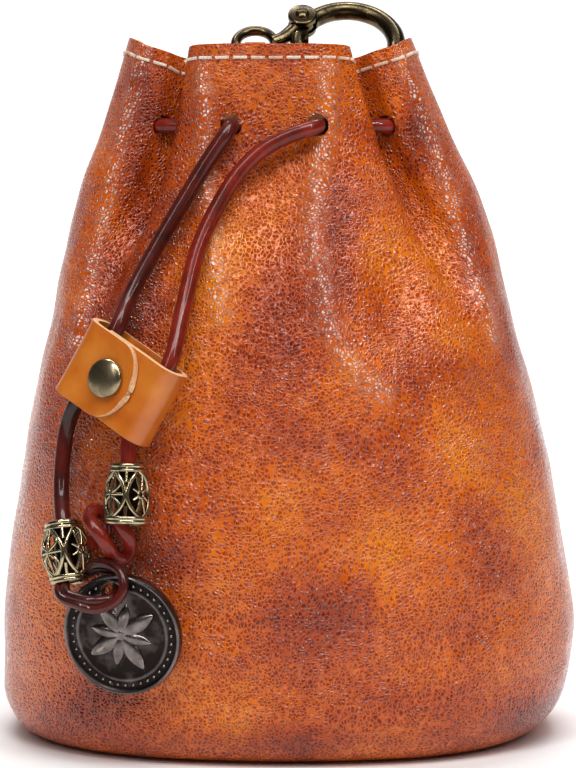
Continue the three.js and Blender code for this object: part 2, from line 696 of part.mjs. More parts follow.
function hookGate() {
  const tongue = disc(PIVOT_LUG_RADIUS - GAP, TONGUE_THICKNESS);
  const barTop = onHook(GATE_START);
  const link = block(2 * GATE_WIRE, pivot.y - barTop.y + GATE_WIRE, TONGUE_THICKNESS, [
    barTop.x + GATE_WIRE / 4,
    (pivot.y + barTop.y - GATE_WIRE) / 2,
    0,
  ]);
  const bar = hookArc(GATE_START, 215, GATE_WIRE, 10, 6);
  const end = block(HOOK_RADIUS, HOOK_RADIUS, 4 * HOOK_WIRE, [
    HOOK_OFFSET - HOOK_RADIUS,
    GAP - TIP_DROP - HOOK_RADIUS / 2,
    0,
  ]);
  const pinHole = disc(PIN_RADIUS + GAP, 2 * LUG_THICKNESS, pivot, 12);
  return toGeometry(cut(joined([tongue, link, bar]), [end, pinHole]));
}

function hookPin() {
  const half = LUG_THICKNESS / 2 + GAP;
  const geometry = turnedPin(
    [
      [0, -half - PIN_HEAD_HEIGHT],
      [PIN_HEAD_RADIUS * 0.7, -half - PIN_HEAD_HEIGHT],
      [PIN_HEAD_RADIUS, -half],
      [PIN_RADIUS, -half],
      [PIN_RADIUS, half],
      [PIN_HEAD_RADIUS, half],
      [PIN_HEAD_RADIUS * 0.7, half + PIN_HEAD_HEIGHT],
      [0, half + PIN_HEAD_HEIGHT],
    ],
    12,
  );
  geometry.translate(pivot.x, pivot.y, 0);
  return geometry;
}

addPiece("hook_body", hookBody(), colours.brass, snapHook);
addPiece("hook_gate", hookGate(), colours.brass, snapHook);
addPiece("hook_pin", hookPin(), colours.brass, snapHook);

// The tab that holds the eye of the hook, riveted inside the back

const eyeWireLow = new THREE.Vector3(0, -EYE_RADIUS, 0).applyEuler(snapHook.rotation).add(snapHook.position);
const eyeSag = EYE_RADIUS - Math.sqrt(EYE_RADIUS ** 2 - TAB_HALF_WIDTH ** 2);
const foldRadius = EYE_WIRE + eyeSag + 1.5 * GAP;
const tabWallHeight = HANGER_HEIGHT / BAG_HEIGHT;
const tabWallY = atLevel("depth", tabWallHeight) * BAG_HALF_DEPTH * BACK_FOLDS[0].y - WALL - GAP;

function hangerTab() {
  const fold = new THREE.CylinderGeometry(foldRadius + TAB_THICKNESS, foldRadius + TAB_THICKNESS, 2, 20);
  fold.scale(1, TAB_HALF_WIDTH, 1);
  fold.rotateZ(Math.PI / 2);
  fold.translate(...eyeWireLow);
  const plateY = tabWallY - TAB_THICKNESS;
  const path = new THREE.CatmullRomCurve3(
    [
      eyeWireLow,
      new THREE.Vector3(eyeWireLow.x, plateY - 0.4, HANGER_HEIGHT + 4),
      new THREE.Vector3(eyeWireLow.x, plateY, HANGER_HEIGHT),
      new THREE.Vector3(eyeWireLow.x, plateY, HANGER_HEIGHT - TAB_END),
    ],
    false,
    "centripetal",
  );
  const corners = [[-1, -1], [1, -1], [1, 1], [-1, 1]];
  const section = new THREE.Shape(
    corners.map(([x, y]) => new THREE.Vector2(x * TAB_HALF_WIDTH, y * TAB_THICKNESS)),
  );
  const plate = new THREE.ExtrudeGeometry(section, { steps: 10, extrudePath: path });
  const inside = new THREE.CylinderGeometry(foldRadius, foldRadius, 4 * TAB_HALF_WIDTH, 20);
  inside.rotateZ(Math.PI / 2);
  inside.translate(...eyeWireLow);
  return toGeometry(cut(joined([fold, plate]), [inside, hangerRivetHole()]));
}

function hangerRivetHole() {
  const radius = HANGER_RIVET_RADIUS + GAP;
  const geometry = new THREE.CylinderGeometry(radius, radius, 8 * WALL, 12);
  geometry.translate(snapHook.position.x, tabWallY, HANGER_HEIGHT);
  return geometry;
}

function hangerRivet() {
  const inner = tabWallY - 2 * TAB_THICKNESS - GAP;
  const outer = tabWallY + 2 * WALL;
  const geometry = turnedPin(
    [
      [0, inner - HANGER_CAP_HEIGHT],
      [HANGER_CAP_RADIUS * 0.8, inner - HANGER_CAP_HEIGHT],
      [HANGER_CAP_RADIUS, inner],
      [HANGER_RIVET_RADIUS, inner],
      [HANGER_RIVET_RADIUS, outer],
      [HANGER_CAP_RADIUS, outer],
      [HANGER_CAP_RADIUS * 0.7, outer + HANGER_CAP_HEIGHT],
      [0, outer + HANGER_CAP_HEIGHT * 1.2],
    ],
    14,
  );
  geometry.rotateX(-Math.PI / 2);
  geometry.translate(snapHook.position.x, 0, HANGER_HEIGHT);
  return geometry;
}

const bagHoles = [lacingHoles(), hangerRivetHole()];
addPiece("pouch_body", toGeometry(cut(toSolid(bagWall()), bagHoles)), colours.leather);
addPiece("hanger_tab", hangerTab(), colours.tan);
addPiece("hanger_rivet", hangerRivet(), colours.rivet);

export default bag;
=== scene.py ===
import math

import bpy
import numpy as np
from mathutils import Matrix, Vector, noise


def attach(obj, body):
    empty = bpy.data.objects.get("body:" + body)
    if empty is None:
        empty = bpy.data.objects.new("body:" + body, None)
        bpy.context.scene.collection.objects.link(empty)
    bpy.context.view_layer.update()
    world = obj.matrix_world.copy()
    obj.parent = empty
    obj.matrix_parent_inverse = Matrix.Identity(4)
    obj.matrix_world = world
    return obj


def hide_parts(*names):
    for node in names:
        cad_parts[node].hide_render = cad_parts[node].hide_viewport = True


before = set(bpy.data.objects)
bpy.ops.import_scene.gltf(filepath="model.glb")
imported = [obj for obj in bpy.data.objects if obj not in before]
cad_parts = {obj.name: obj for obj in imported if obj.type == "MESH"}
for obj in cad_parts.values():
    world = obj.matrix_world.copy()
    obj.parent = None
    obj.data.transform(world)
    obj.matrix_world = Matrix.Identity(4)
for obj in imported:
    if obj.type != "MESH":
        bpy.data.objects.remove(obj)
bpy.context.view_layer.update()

# Camera
# The picture was taken from the front, 48 cm away and a little above the middle of the pouch. The
# camera is tilted slightly down, so the mouth is seen edge on and the base's front edge as a curve.
CAMERA_DISTANCE = 0.48
CAMERA_HEIGHT = 0.106
CAMERA_TILT = 5.03
CAMERA_LENS = 122.4

bpy.ops.object.camera_add(
    location=(0, -CAMERA_DISTANCE, CAMERA_HEIGHT),
    rotation=(math.radians(90 - CAMERA_TILT), 0, 0),
)
camera = bpy.context.object
camera.data.lens = CAMERA_LENS
camera.data.clip_start = 0.01
bpy.context.scene.camera = camera

# Cords
# A round leather cord, 3 mm thick, dyed dark red and lacquered. One length runs inside the neck and in
# and out of its folds, and comes out at the two holes of the front. From there its two tails hang
# through the slider, and each ends in a bead.
MM = 0.001
CORD_RADIUS = 1.42
CORD_GRAIN = 1.6  # length of the dark flecks, in millimetres

LACING_HEIGHT = 111.1
LACING_MIDDLE = -2.4
LACING_HALF = [
    (7.7, -14.0), (7.8, -11.6), (9.5, -8.9), (13.0, -6.7), (16.8, -5.5), (20.2, -4.5), (23.1, -2.4),
    (24.7, 1.0), (24.5, 5.0), (23.6, 8.8), (21.3, 11.2), (18.1, 11.1), (14.4, 9.3), (7.9, 9.4),
]
LEFT_TAIL = [
    (-10.1, -14.6, 111.1), (-10.2, -15.7, 110.8), (-11.2, -16.8, 109.2), (-13.4, -17.3, 106.0),
    (-17.3, -18.2, 99.7), (-23.8, -21.5, 88.5), (-27.8, -24.9, 80.9),
]
LEFT_IN_SLIDER = [(-29.8, -28.2, 75.8), (-36.5, -26.9, 63.6)]
LEFT_BELOW = [(-38.6, -25.1, 58.6), (-39.5, -25.7, 52.4), (-39.6, -27.5, 46.9)]
RIGHT_TAIL = [
    (5.3, -14.6, 111.1), (5.1, -15.7, 111.0), (3.6, -16.8, 110.4), (-0.5, -17.0, 108.9),
    (-4.5, -17.4, 106.7), (-8.5, -18.7, 102.9), (-12.0, -20.7, 97.5), (-15.5, -23.8, 90.1),
    (-18.1, -28.8, 79.6),
]
RIGHT_IN_SLIDER = [(-20.5, -34.8, 69.7), (-27.2, -33.4, 57.5)]
BELL_BEAD_ENDS = [(-27.5, -34.5, 53.0), (-27.7, -36.2, 43.1)]
BARREL_BEAD_ENDS = [(-39.0, -31.1, 42.5), (-37.7, -34.0, 32.6)]


def linear(colour):
    """The linear colour of an sRGB hex value."""
    parts = [int(colour[i : i + 2], 16) / 255 for i in (1, 3, 5)]
    return [c / 12.92 if c <= 0.04045 else ((c + 0.055) / 1.055) ** 2.4 for c in parts] + [1.0]


def connect(material, node, settings=(), links=()):
    """Sets a node's properties and sockets, and runs other nodes or their outputs into its sockets.

    The stops of a ramp are pairs of a position and a hex colour."""
    for name, value in dict(settings).items():
        if name == "stops":
            for _ in value[2:]:
                node.color_ramp.elements.new(0.5)
            for element, (position, colour) in zip(node.color_ramp.elements, value):
                element.position = position
                element.color = linear(colour)
        elif isinstance(name, str) and name not in node.inputs:
            setattr(node, name, value)
        else:
            node.inputs[name].default_value = value
    for name, source in dict(links).items():
        output = source.outputs[0] if isinstance(source, bpy.types.Node) else source
        material.node_tree.links.new(output, node.inputs[name])


def add_node(material, kind, settings=(), links=()):
    """A node with its settings, by property or socket, and what runs into its sockets."""
    node = material.node_tree.nodes.new(kind)
    connect(material, node, settings, links)
    return node


def new_material(name):
    """A material, its shader, and the object coordinates that its patterns lie on."""
    material = bpy.data.materials.new(name)
    material.use_nodes = True
    coordinates = add_node(material, "ShaderNodeTexCoord")
    return material, material.node_tree.nodes["Principled BSDF"], coordinates.outputs["Object"]


def smooth_route(points, steps, closed=False):
    """A smooth curve through all the points that doesn't overshoot, with so many steps between each two."""
    keys = np.array(points, dtype=float)
    if closed:
        keys = np.vstack([keys[-1], keys, keys[:2]])
    else:
        keys = np.vstack([2 * keys[0] - keys[1], keys, 2 * keys[-1] - keys[-2]])
    steps = [steps] * (len(keys) - 3) if isinstance(steps, int) else steps
    route = []
    for i, count in enumerate(steps):
        before, start, end, after = keys[i : i + 4]
        pairs = ((before, start), (start, end), (end, after))
        gaps = [max(np.linalg.norm(b - a), 1e-4) ** 0.5 for a, b in pairs]
        leave = (start - before) / gaps[0] - (end - before) / (gaps[0] + gaps[1]) + (end - start) / gaps[1]
        reach = (end - start) / gaps[1] - (after - start) / (gaps[1] + gaps[2]) + (after - end) / gaps[2]
        t = np.linspace(0, 1, count, endpoint=False)[:, None]
        leave, reach = leave * gaps[1], reach * gaps[1]
        route.append(
            (2 * t**3 - 3 * t**2 + 1) * start + (t**3 - 2 * t**2 + t) * leave
            + (3 * t**2 - 2 * t**3) * end + (t**3 - t**2) * reach
        )
    if not closed:
        route.append(keys[-2][None, :])
    return np.vstack(route)


def swept_bar(route, radius, resolution=5, shares=None, closed=False):
    """A round bar along a route in millimetres, as a mesh that keeps the curve's own UV map.

    Shares, if given, are the radius at each point of the route, as a share of the radius."""
    bpy.ops.curve.primitive_nurbs_path_add()
    piece = bpy.context.object
    piece.data.splines.clear()
    line = piece.data.splines.new("POLY")
    line.points.add(len(route) - 1)
    line.use_cyclic_u = closed
    for i, point in enumerate(line.points):
        point.co = (*(np.array(route[i]) * MM), 1)
        point.radius = 1 if shares is None else shares[i]
    piece.data.bevel_depth = radius * MM
    piece.data.bevel_resolution = resolution
    piece.data.use_fill_caps = not closed
    bpy.ops.object.convert(target="MESH")
    piece = bpy.context.object
    piece.data.transform(piece.matrix_world)
    piece.matrix_world = Matrix()
    return piece


def cord_piece(name, route, radius, material):
    piece = swept_bar(route, radius)
    piece.name = name
    bpy.ops.object.shade_smooth_by_angle(angle=math.radians(50))
    piece.data.materials.clear()
    piece.data.materials.append(material)
    return piece


def cord_material(name, red, dark):
    """Lacquered vegetable-tanned leather: a hard gloss over dye that has rubbed darker in flecks."""
    material, shader, place = new_material(name)
    flecks = add_node(
        material, "ShaderNodeTexNoise", {"Scale": 1 / (CORD_GRAIN * MM), "Detail": 6.0, "Roughness": 0.65},
        {"Vector": place},
    )
    patches = add_node(
        material, "ShaderNodeTexNoise", {"Scale": 1 / (10.5 * MM), "Detail": 3.0, "Roughness": 0.6},
        {"Vector": place},
    )
    spread = add_node(
        material, "ShaderNodeMath", {"operation": "MULTIPLY_ADD", 1: 0.55},
        {0: flecks, 2: patches},
    )
    colour = add_node(material, "ShaderNodeValToRGB", {"stops": [(0.62, dark), (0.98, red)]}, {0: spread})
    skin = add_node(material, "ShaderNodeBump", {"Strength": 0.5, "Distance": 0.00015}, {"Height": flecks})
    gloss = add_node(material, "ShaderNodeMapRange", {"To Min": 0.22, "To Max": 0.5}, {"Value": patches})
    connect(
        material, shader, {"Coat Weight": 0.5, "Coat Roughness": 0.07, "Specular IOR Level": 0.15},
        {"Base Color": colour, "Roughness": gloss, "Normal": skin},
    )
    return material


# The lacquer gives thin bright lines along the cord. The left tail and the pendant strands take a darker
# copy of its colours, nearly black.
cord_leather = cord_material("lacquered round leather cord", "#922312", "#5a140a")
dark_cord_leather = cord_material("darker round leather cord", "#5c1810", "#260c08")

lacing_points = [(LACING_MIDDLE + x, y, LACING_HEIGHT) for x, y in LACING_HALF]
lacing_points += [(LACING_MIDDLE - x, y, LACING_HEIGHT) for x, y in reversed(LACING_HALF)]
lacing_route = smooth_route(lacing_points, 8)
lacing = cord_piece("lacing", lacing_route, CORD_RADIUS, cord_leather)
left_route = smooth_route(LEFT_TAIL + LEFT_IN_SLIDER + LEFT_BELOW + BARREL_BEAD_ENDS, 10)
right_route = smooth_route(RIGHT_TAIL + RIGHT_IN_SLIDER + BELL_BEAD_ENDS, 10)
left_tail = cord_piece("left_tail", left_route, CORD_RADIUS, dark_cord_leather)
right_tail = cord_piece("right_tail", right_route, CORD_RADIUS, cord_leather)

for piece, node in (
    (lacing, "drawstring_lacing"),
    (left_tail, "drawstring_tail_left"),
    (right_tail, "drawstring_tail_right"),
):
    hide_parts(node)
    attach(piece, "pouch")


# Pouch
# One wrap of glossy pebbled leather, 1.6 mm thick, gathered at the neck into a flat pleat in front with
# a wing on each side, and turned under an oval base at the bottom. It is dyed orange tan and clouded
# with dark red brown.
BAG_HEIGHT = 127.0
BAG_HALF_WIDTH = 53.0
BAG_HALF_DEPTH = 37.5
WALL = 1.6
EDGE_IN = 8.0
EDGE_UP = 10.0
SAG = 3.5
SAG_HEIGHT = 22.0
TURN_UNDER = 3.0
OVAL_POWER = 2.25
LEVEL_NAMES = ("height", "width", "depth", "gather", "lean")
LEVELS = np.array([
    (0.0, 1.0, 1.0, 0.0, 0.0),
    (0.088, 0.998, 1.0, 0.0, 0.0),
    (0.167, 0.996, 1.0, 0.0, 0.0),
    (0.287, 0.96, 0.975, 0.0, -0.004),
    (0.407, 0.907, 0.915, 0.0, -0.009),
    (0.525, 0.849, 0.825, 0.03, -0.015),
    (0.615, 0.796, 0.73, 0.12, -0.02),
    (0.684, 0.756, 0.632, 0.32, -0.024),
    (0.744, 0.718, 0.53, 0.6, -0.029),
    (0.803, 0.67, 0.442, 0.88, -0.037),
    (0.868, 0.602, 0.372, 1.0, -0.045),
    (1.0, 0.487, 0.352, 1.0, -0.061),
])
# turn, x, y and rim of each fold, and the steps of the mesh up to the next one
FRONT_FOLDS = [
    (0, 0, 1.0, 0.989, 18), (0.27, 0.33, 0.98, 0.989, 14), (0.44, 0.56, 0.657, 0.986, 9),
    (0.51, 0.535, 0.4, 0.975, 8), (0.57, 0.468, 0.2, 0.968, 8), (0.635, 0.605, 0.264, 0.972, 8),
    (0.73, 0.72, 0.45, 0.98, 9), (0.83, 0.876, 0.42, 0.99, 12), (1, 1.0, 0, 1.0, 0),
]
BACK_FOLDS = [
    (0, 0, 0.95, 0.96, 18), (0.27, 0.33, 1.0, 0.96, 14), (0.44, 0.5, 0.92, 0.957, 9),
    (0.51, 0.56, 0.78, 0.952, 8), (0.57, 0.62, 0.66, 0.948, 8), (0.64, 0.69, 0.62, 0.943, 8),
    (0.73, 0.76, 0.62, 0.94, 9), (0.83, 0.9, 0.5, 0.95, 12), (1, 1.0, 0, 1.0, 0),
]
# Round the bag from the middle of the back, by its right side: fold, right or left, back or front
AROUND = [(fold, 1, 1) for fold in BACK_FOLDS] + [(fold, 1, -1) for fold in FRONT_FOLDS[-2::-1]]
AROUND += [(fold, -1, -1) for fold in FRONT_FOLDS[1:]] + [(fold, -1, 1) for fold in BACK_FOLDS[-2:0:-1]]


def steps_between(here, there):
    """Steps of the mesh between two neighbouring folds. The one nearer the middle says how many."""
    return here[0][4] if here[0][0] < there[0][0] else there[0][4]


STEPS = [steps_between(AROUND[i], AROUND[(i + 1) % len(AROUND)]) for i in range(len(AROUND))]


def at_level(height):
    """Width, depth, gather and lean at a height, on a smooth curve through LEVELS."""
    last = len(LEVELS) - 1
    after = max(1, int(np.argmax(LEVELS[:, 0] >= height - 1e-9)))
    rows = [LEVELS[min(max(i, 0), last)] for i in (after - 2, after - 1, after, after + 1)]
    before, start, end, beyond = rows
    span = end[0] - start[0]
    leave = (end - before) / (end[0] - before[0]) * span
    reach = (beyond - start) / (beyond[0] - start[0]) * span
    t = (height - start[0]) / span
    value = (1 - t) ** 2 * ((1 + 2 * t) * start + t * leave) + t**2 * ((3 - 2 * t) * end - (1 - t) * reach)
    return value[1:]


def smoothstep(value, low, high):
    t = np.clip((value - low) / (high - low), 0, 1)
    return t * t * (3 - 2 * t)


def leather_row(height):
    """The outer leather at one height, round the bag."""
    width, depth, gather, lean = at_level(height)
    to_rim = smoothstep(height, 0.86, 1)
    keys = []
    for (turn, x, y, rim, _), right, back in AROUND:
        angle = turn * math.pi / 2
        belly_x = math.sin(angle) ** (2 / OVAL_POWER)
        belly_y = max(math.cos(angle), 0) ** (2 / OVAL_POWER)
        keys.append((
            BAG_HALF_WIDTH * (lean + right * width * (belly_x + (x - belly_x) * gather)),
            BAG_HALF_DEPTH * back * depth * (belly_y + (y - belly_y) * gather),
            BAG_HEIGHT * (height - (1 - rim) * to_rim),
        ))
    return smooth_route(keys, STEPS, closed=True)


def inset_row(row, inset, z):
    """A row moved inwards and set at a height z."""
    along = np.roll(row, -1, axis=0) - np.roll(row, 1, axis=0)
    out = np.stack([along[:, 1], -along[:, 0]], axis=1)
    out /= np.linalg.norm(out, axis=1)[:, None]
    centre = row[:, :2].mean(axis=0)
    if ((row[:, :2] - centre) * out).sum() < 0:
        out = -out
    return np.column_stack([row[:, :2] - inset * out, np.full(len(row), z)])


wall_heights = np.concatenate([np.arange(0.088, 0.96, 0.0078), np.arange(0.963, 0.9995, 0.0042), [1.0]])
lowest = leather_row(wall_heights[0])
leather_rows = [inset_row(lowest, EDGE_IN + TURN_UNDER * share, 0) for share in (1.0, 0.6, 0.25)]
for step in range(9):
    angle = step / 9 * math.pi / 2
    leather_rows.append(inset_row(lowest, EDGE_IN * (1 - math.sin(angle)), EDGE_UP * (1 - math.cos(angle))))
leather_rows = np.array(leather_rows + [leather_row(height) for height in wall_heights])
right_share = smoothstep(leather_rows[:, :, 0] / BAG_HALF_WIDTH, 0.3, 1)
low_share = np.maximum(1 - leather_rows[:, :, 2] / SAG_HEIGHT, 0)
leather_rows[:, :, 0] -= SAG * right_share * low_share**2

bpy.ops.mesh.primitive_grid_add(
    x_subdivisions=leather_rows.shape[1], y_subdivisions=leather_rows.shape[0] - 1, size=1
)
pouch = bpy.context.object
pouch.name = "pouch_leather"
ROWS, COLUMNS = leather_rows.shape[:2]


def outward_normals(rows):
    round_bag = np.roll(rows, -1, axis=1) - np.roll(rows, 1, axis=1)
    upward = np.gradient(rows, axis=0)
    normals = np.cross(round_bag, upward)
    normals /= np.maximum(np.linalg.norm(normals, axis=2, keepdims=True), 1e-9)
    belly = rows[60, :, :2] - rows[60, :, :2].mean(axis=0)
    return normals if (normals[60, :, :2] * belly).sum() > 0 else -normals


# Soft marks in the leather of the front: x, z, half width, half height, turn in degrees, height
MARKS = [
    (19.5, 82.0, 6.0, 9.5, 8, -3.0),
    (33.0, 77.0, 2.8, 7.0, -18, 0.7),
    (-21.5, 90.0, 4.5, 10.0, -14, -1.5),
    (-27.5, 77.5, 5.0, 3.0, 30, 0.9),
    (-4.5, 98.0, 7.5, 18.0, 0, -0.9),
    (8.5, 52.0, 16.0, 3.2, 24, -0.6),
    (24.0, 44.0, 15.0, 2.6, 32, -0.6),
    (-14.0, 26.0, 12.0, 3.0, -22, -0.5),
    (30.0, 22.0, 13.0, 2.8, 26, -0.5),
    (-2.0, 14.0, 18.0, 3.0, 4, -0.5),
    (39.0, 52.0, 3.0, 14.0, 14, -0.6),
]
# Creased ridges of the front, raised in the mesh and marked with a painted highlight: half width, height,
# and points of x and z along each
RIDGES = [
    (2.0, 1.15, [
        (7.2, 121.0), (6.7, 111.0), (5.3, 101.5), (4.3, 93.0), (5.5, 86.5), (6.4, 78.5), (9.0, 72.3),
        (12.4, 68.0), (16.5, 65.0),
    ]),
    (1.7, 0.9, [
        (-15.4, 121.0), (-14.8, 112.0), (-14.9, 103.0), (-13.8, 94.0), (-12.4, 85.0), (-11.8, 78.0),
    ]),
    (1.5, 0.75, [(-26.0, 124.0), (-29.6, 111.0), (-32.4, 98.0), (-35.4, 84.0), (-38.0, 72.0)]),
    (1.5, 0.75, [(20.4, 123.5), (24.4, 113.0), (28.8, 99.5), (32.6, 86.0), (36.5, 74.0)]),
]


def near_ridge(spots, line, half_width):
    """How near points of x and z are to a ridge: 1 on it, falling to 0 over its half width."""
    nearest = np.full(spots.shape[:-1], 1e9)
    for start, end in zip(np.array(line), np.array(line)[1:]):
        step = end - start
        along = np.clip((spots - start) @ step / (step @ step), 0, 1)
        nearest = np.minimum(nearest, np.linalg.norm(spots - start - along[..., None] * step, axis=-1))
    return np.exp(-((nearest / half_width) ** 2))


def mark_heights(rows, normals):
    height = np.zeros(rows.shape[:2])
    front = smoothstep(-normals[:, :, 1], 0.0, 0.3)
    for x, z, half_width, half_height, turn, rise in MARKS:
        cos, sin = math.cos(math.radians(turn)), math.sin(math.radians(turn))
        across, up = rows[:, :, 0] - x, rows[:, :, 2] - z
        a, b = (across * cos + up * sin) / half_width, (up * cos - across * sin) / half_height
        height += rise * front * np.exp(-a * a - b * b)
    for half_width, rise, line in RIDGES:
        height += rise * front * near_ridge(rows[:, :, [0, 2]], line, half_width)
    return height


def soft_noise(rows, size, seed):
    values = [noise.noise(Vector(p) / size + Vector((seed, 0, 0))) for p in rows.reshape(-1, 3)]
    return np.array(values).reshape(rows.shape[:2])


normals = outward_normals(leather_rows)
height = mark_heights(leather_rows, normals)
levels = leather_rows[:, :, 2]
body_share = smoothstep(levels, 0, 14) * (1 - 0.75 * smoothstep(levels, 88, 104))
waves = 0.55 * soft_noise(leather_rows, 21.0, 3.0) + 0.22 * soft_noise(leather_rows, 8.0, 9.0)
height += body_share * (waves - 0.15)
drawn = leather_rows * np.array([1.0, 1.0, 0.22])
pull_share = smoothstep(levels, 58, 84) * (1 - 0.5 * smoothstep(levels, 104, 112))
height += 0.2 * pull_share * (soft_noise(drawn, 3.4, 21.0) - 0.3)
leather_rows = leather_rows + normals * height[:, :, None]

for vertex in pouch.data.vertices:
    column = round((vertex.co.x + 0.5) * COLUMNS) % COLUMNS
    row = round((vertex.co.y + 0.5) * (ROWS - 1))
    vertex.co = leather_rows[row, column] * MM
bpy.ops.object.mode_set(mode="EDIT")
bpy.ops.mesh.select_all(action="SELECT")
bpy.ops.mesh.remove_doubles(threshold=1e-6)
bpy.ops.object.mode_set(mode="OBJECT")
outward = sum(face.normal.dot(Vector((face.center.x, face.center.y, 0))) for face in pouch.data.polygons)
if outward < 0:
    pouch.data.flip_normals()
for side in ("grain side", "flesh side", "cut edge"):
    pouch.data.materials.append(None)


def modify(piece, kind, **settings):
    """Adds a modifier to a piece and applies it."""
    bpy.ops.object.select_all(action="DESELECT")
    piece.select_set(True)
    bpy.context.view_layer.objects.active = piece
    modifier = piece.modifiers.new("step", kind)
    for name, value in settings.items():
        setattr(modifier, name, value)
    bpy.ops.object.modifier_apply(modifier=modifier.name)


def combine(piece, other, operation="DIFFERENCE"):
    """Cuts another shape out of a piece, or joins it on, and deletes it."""
    modify(piece, "BOOLEAN", operation=operation, object=other, solver="EXACT")
    bpy.data.objects.remove(other)


modify(pouch, "SOLIDIFY", thickness=WALL * MM, offset=-1, material_offset=1, material_offset_rim=2)
modify(pouch, "BEVEL", width=0.35 * MM, segments=2, angle_limit=math.radians(60))

# The punched holes, 4 mm wide, follow the lacing through each fold.
HOLE_RADIUS = CORD_RADIUS + 0.55
outside = np.array([(0, -3 * WALL, 0)])
punch_route = np.vstack([lacing_route[:1] + outside, lacing_route, lacing_route[-1:] + outside])
combine(pouch, cord_piece("punch", punch_route, HOLE_RADIUS, cord_leather))


def finish_piece(piece, *materials, angle=40, body="pouch", slot=None, nodes=()):
    """Smooths, paints and seats a piece."""
    bpy.ops.object.select_all(action="DESELECT")
    piece.select_set(True)
    bpy.context.view_layer.objects.active = piece
    bpy.ops.object.shade_smooth_by_angle(angle=math.radians(angle))
    for index, material in enumerate(materials):
        if index < len(piece.data.materials):
            piece.data.materials[index] = material
        else:
            piece.data.materials.append(material)
    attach(piece, body)
    if nodes:
        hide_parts(*nodes)


# Dark clouds of dye on the front; the ones along the bottom edge and at its corners are painted shade where
# the leather turns under: x, z, half width, half height, strength
DYE_AND_SHADE_CLOUDS = [
    (-4.0, 117.0, 13.0, 5.5, -0.1), (-7.0, 106.0, 7.0, 4.0, 0.3), (9.5, 92.0, 3.2, 10.0, 0.75),
    (0.0, 77.0, 9.0, 11.0, 0.75), (-24.5, 100.0, 6.0, 15.0, 1.25), (-29.0, 80.0, 8.0, 9.0, 0.9),
    (-38.0, 62.0, 7.0, 12.0, 0.55), (-20.5, 36.5, 7.5, 4.0, 1.0), (0.0, 21.0, 12.0, 7.5, 0.5),
    (12.0, 26.0, 11.0, 6.0, 0.4), (17.0, 54.5, 8.5, 6.0, 0.6), (4.0, 57.0, 9.0, 5.0, 0.6),
    (24.0, 68.0, 9.0, 4.5, 0.65), (41.5, 74.0, 4.0, 11.0, 0.6), (46.5, 55.0, 3.5, 14.0, 0.6),
    (23.5, 114.0, 3.0, 9.0, 0.9), (33.5, 91.0, 3.5, 11.0, 0.8), (-38.0, 6.5, 8.0, 4.0, 0.95),
    (43.0, 6.5, 8.0, 3.5, 0.9), (-7.0, 4.0, 22.0, 3.0, 0.6), (38.0, 34.0, 6.0, 5.0, 0.5),
    (-9.0, 44.0, 5.0, 5.0, 0.35), (-32.5, 12.0, 7.0, 4.0, 0.5), (25.0, 12.0, 8.0, 4.0, 0.4),
    (17.0, 89.0, 7.0, 6.0, -0.3), (30.0, 55.0, 8.0, 7.0, -0.5), (42.0, 42.0, 5.0, 8.0, -0.4),
    (-6.0, 58.0, 9.0, 8.0, 0.35), (-10.0, 88.0, 5.0, 12.0, -0.6),
    (-43.0, 30.0, 6.0, 8.0, -0.3), (-24.5, 117.0, 4.5, 8.0, 0.6), (28.0, 34.0, 8.0, 7.0, -0.4),
    (14.0, 38.0, 9.0, 4.0, -0.35), (-8.0, 30.0, 5.0, 5.0, -0.4),
]
dye_and_shade_layer = pouch.data.attributes.new("dye", "FLOAT", "POINT")
places = np.zeros(len(pouch.data.vertices) * 3)
pouch.data.vertices.foreach_get("co", places)
places = places.reshape(-1, 3) / MM
front = smoothstep(-places[:, 1], 2.0, 8.0)
dye_and_shade_amount = np.zeros(len(places))
for x, z, half_width, half_height, strength in DYE_AND_SHADE_CLOUDS:
    a, b = (places[:, 0] - x) / half_width, (places[:, 2] - z) / half_height
    dye_and_shade_amount += strength * np.exp(-((a * a + b * b) ** 1.3)) * front
dye_and_shade_layer.data.foreach_set("value", dye_and_shade_amount)
# Painted highlight: a near-white colour laid on the tops of the pebbles along the ridges, standing in for
# the glints of light there.
ridge_highlight_layer = pouch.data.attributes.new("rub", "FLOAT", "POINT")
ridge_highlight_amount = sum(near_ridge(places[:, [0, 2]], line, 0.8 * half_width) for half_width, _, line in RIDGES)
ridge_highlight_layer.data.foreach_set("value", ridge_highlight_amount * front)

# Full-grain vegetable-tanned leather, plated and glazed: small glossy pebbles with pale creases between
# them, dyed in two coats so that the second lies in clouds. Each pebble catches its own glint.
PEBBLE = 0.68  # width of a pebble, in millimetres
CREASE = 4.2  # distance between the longer creases
leather, shader, place = new_material("glazed pebbled full-grain leather")
current = add_node(leather, "ShaderNodeTexNoise", {"Scale": 1 / (16 * MM), "Detail": 2.0}, {"Vector": place})
centred = add_node(
    leather, "ShaderNodeVectorMath", {"operation": "SUBTRACT", 1: (0.5, 0.5, 0.5)},
    {0: current.outputs["Color"]},
)
drift = add_node(
    leather, "ShaderNodeVectorMath", {"operation": "MULTIPLY_ADD", 1: (0.007, 0.007, 0.007)},
    {0: centred, 2: place},
)
shake = add_node(leather, "ShaderNodeTexNoise", {"Scale": 1 / (1.1 * MM), "Detail": 2.0}, {"Vector": place})
shaken = add_node(
    leather, "ShaderNodeVectorMath", {"operation": "MULTIPLY_ADD", 1: (0.0004, 0.0004, 0.0004)},
    {0: shake.outputs["Color"], 2: drift},
)
pebbles = add_node(
    leather, "ShaderNodeTexVoronoi",
    {"feature": "DISTANCE_TO_EDGE", "Scale": 1 / (PEBBLE * MM), "Randomness": 0.9},
    {"Vector": shaken},
)
cells = add_node(
    leather, "ShaderNodeTexVoronoi", {"feature": "F1", "Scale": 1 / (PEBBLE * MM), "Randomness": 0.9},
    {"Vector": shaken},
)
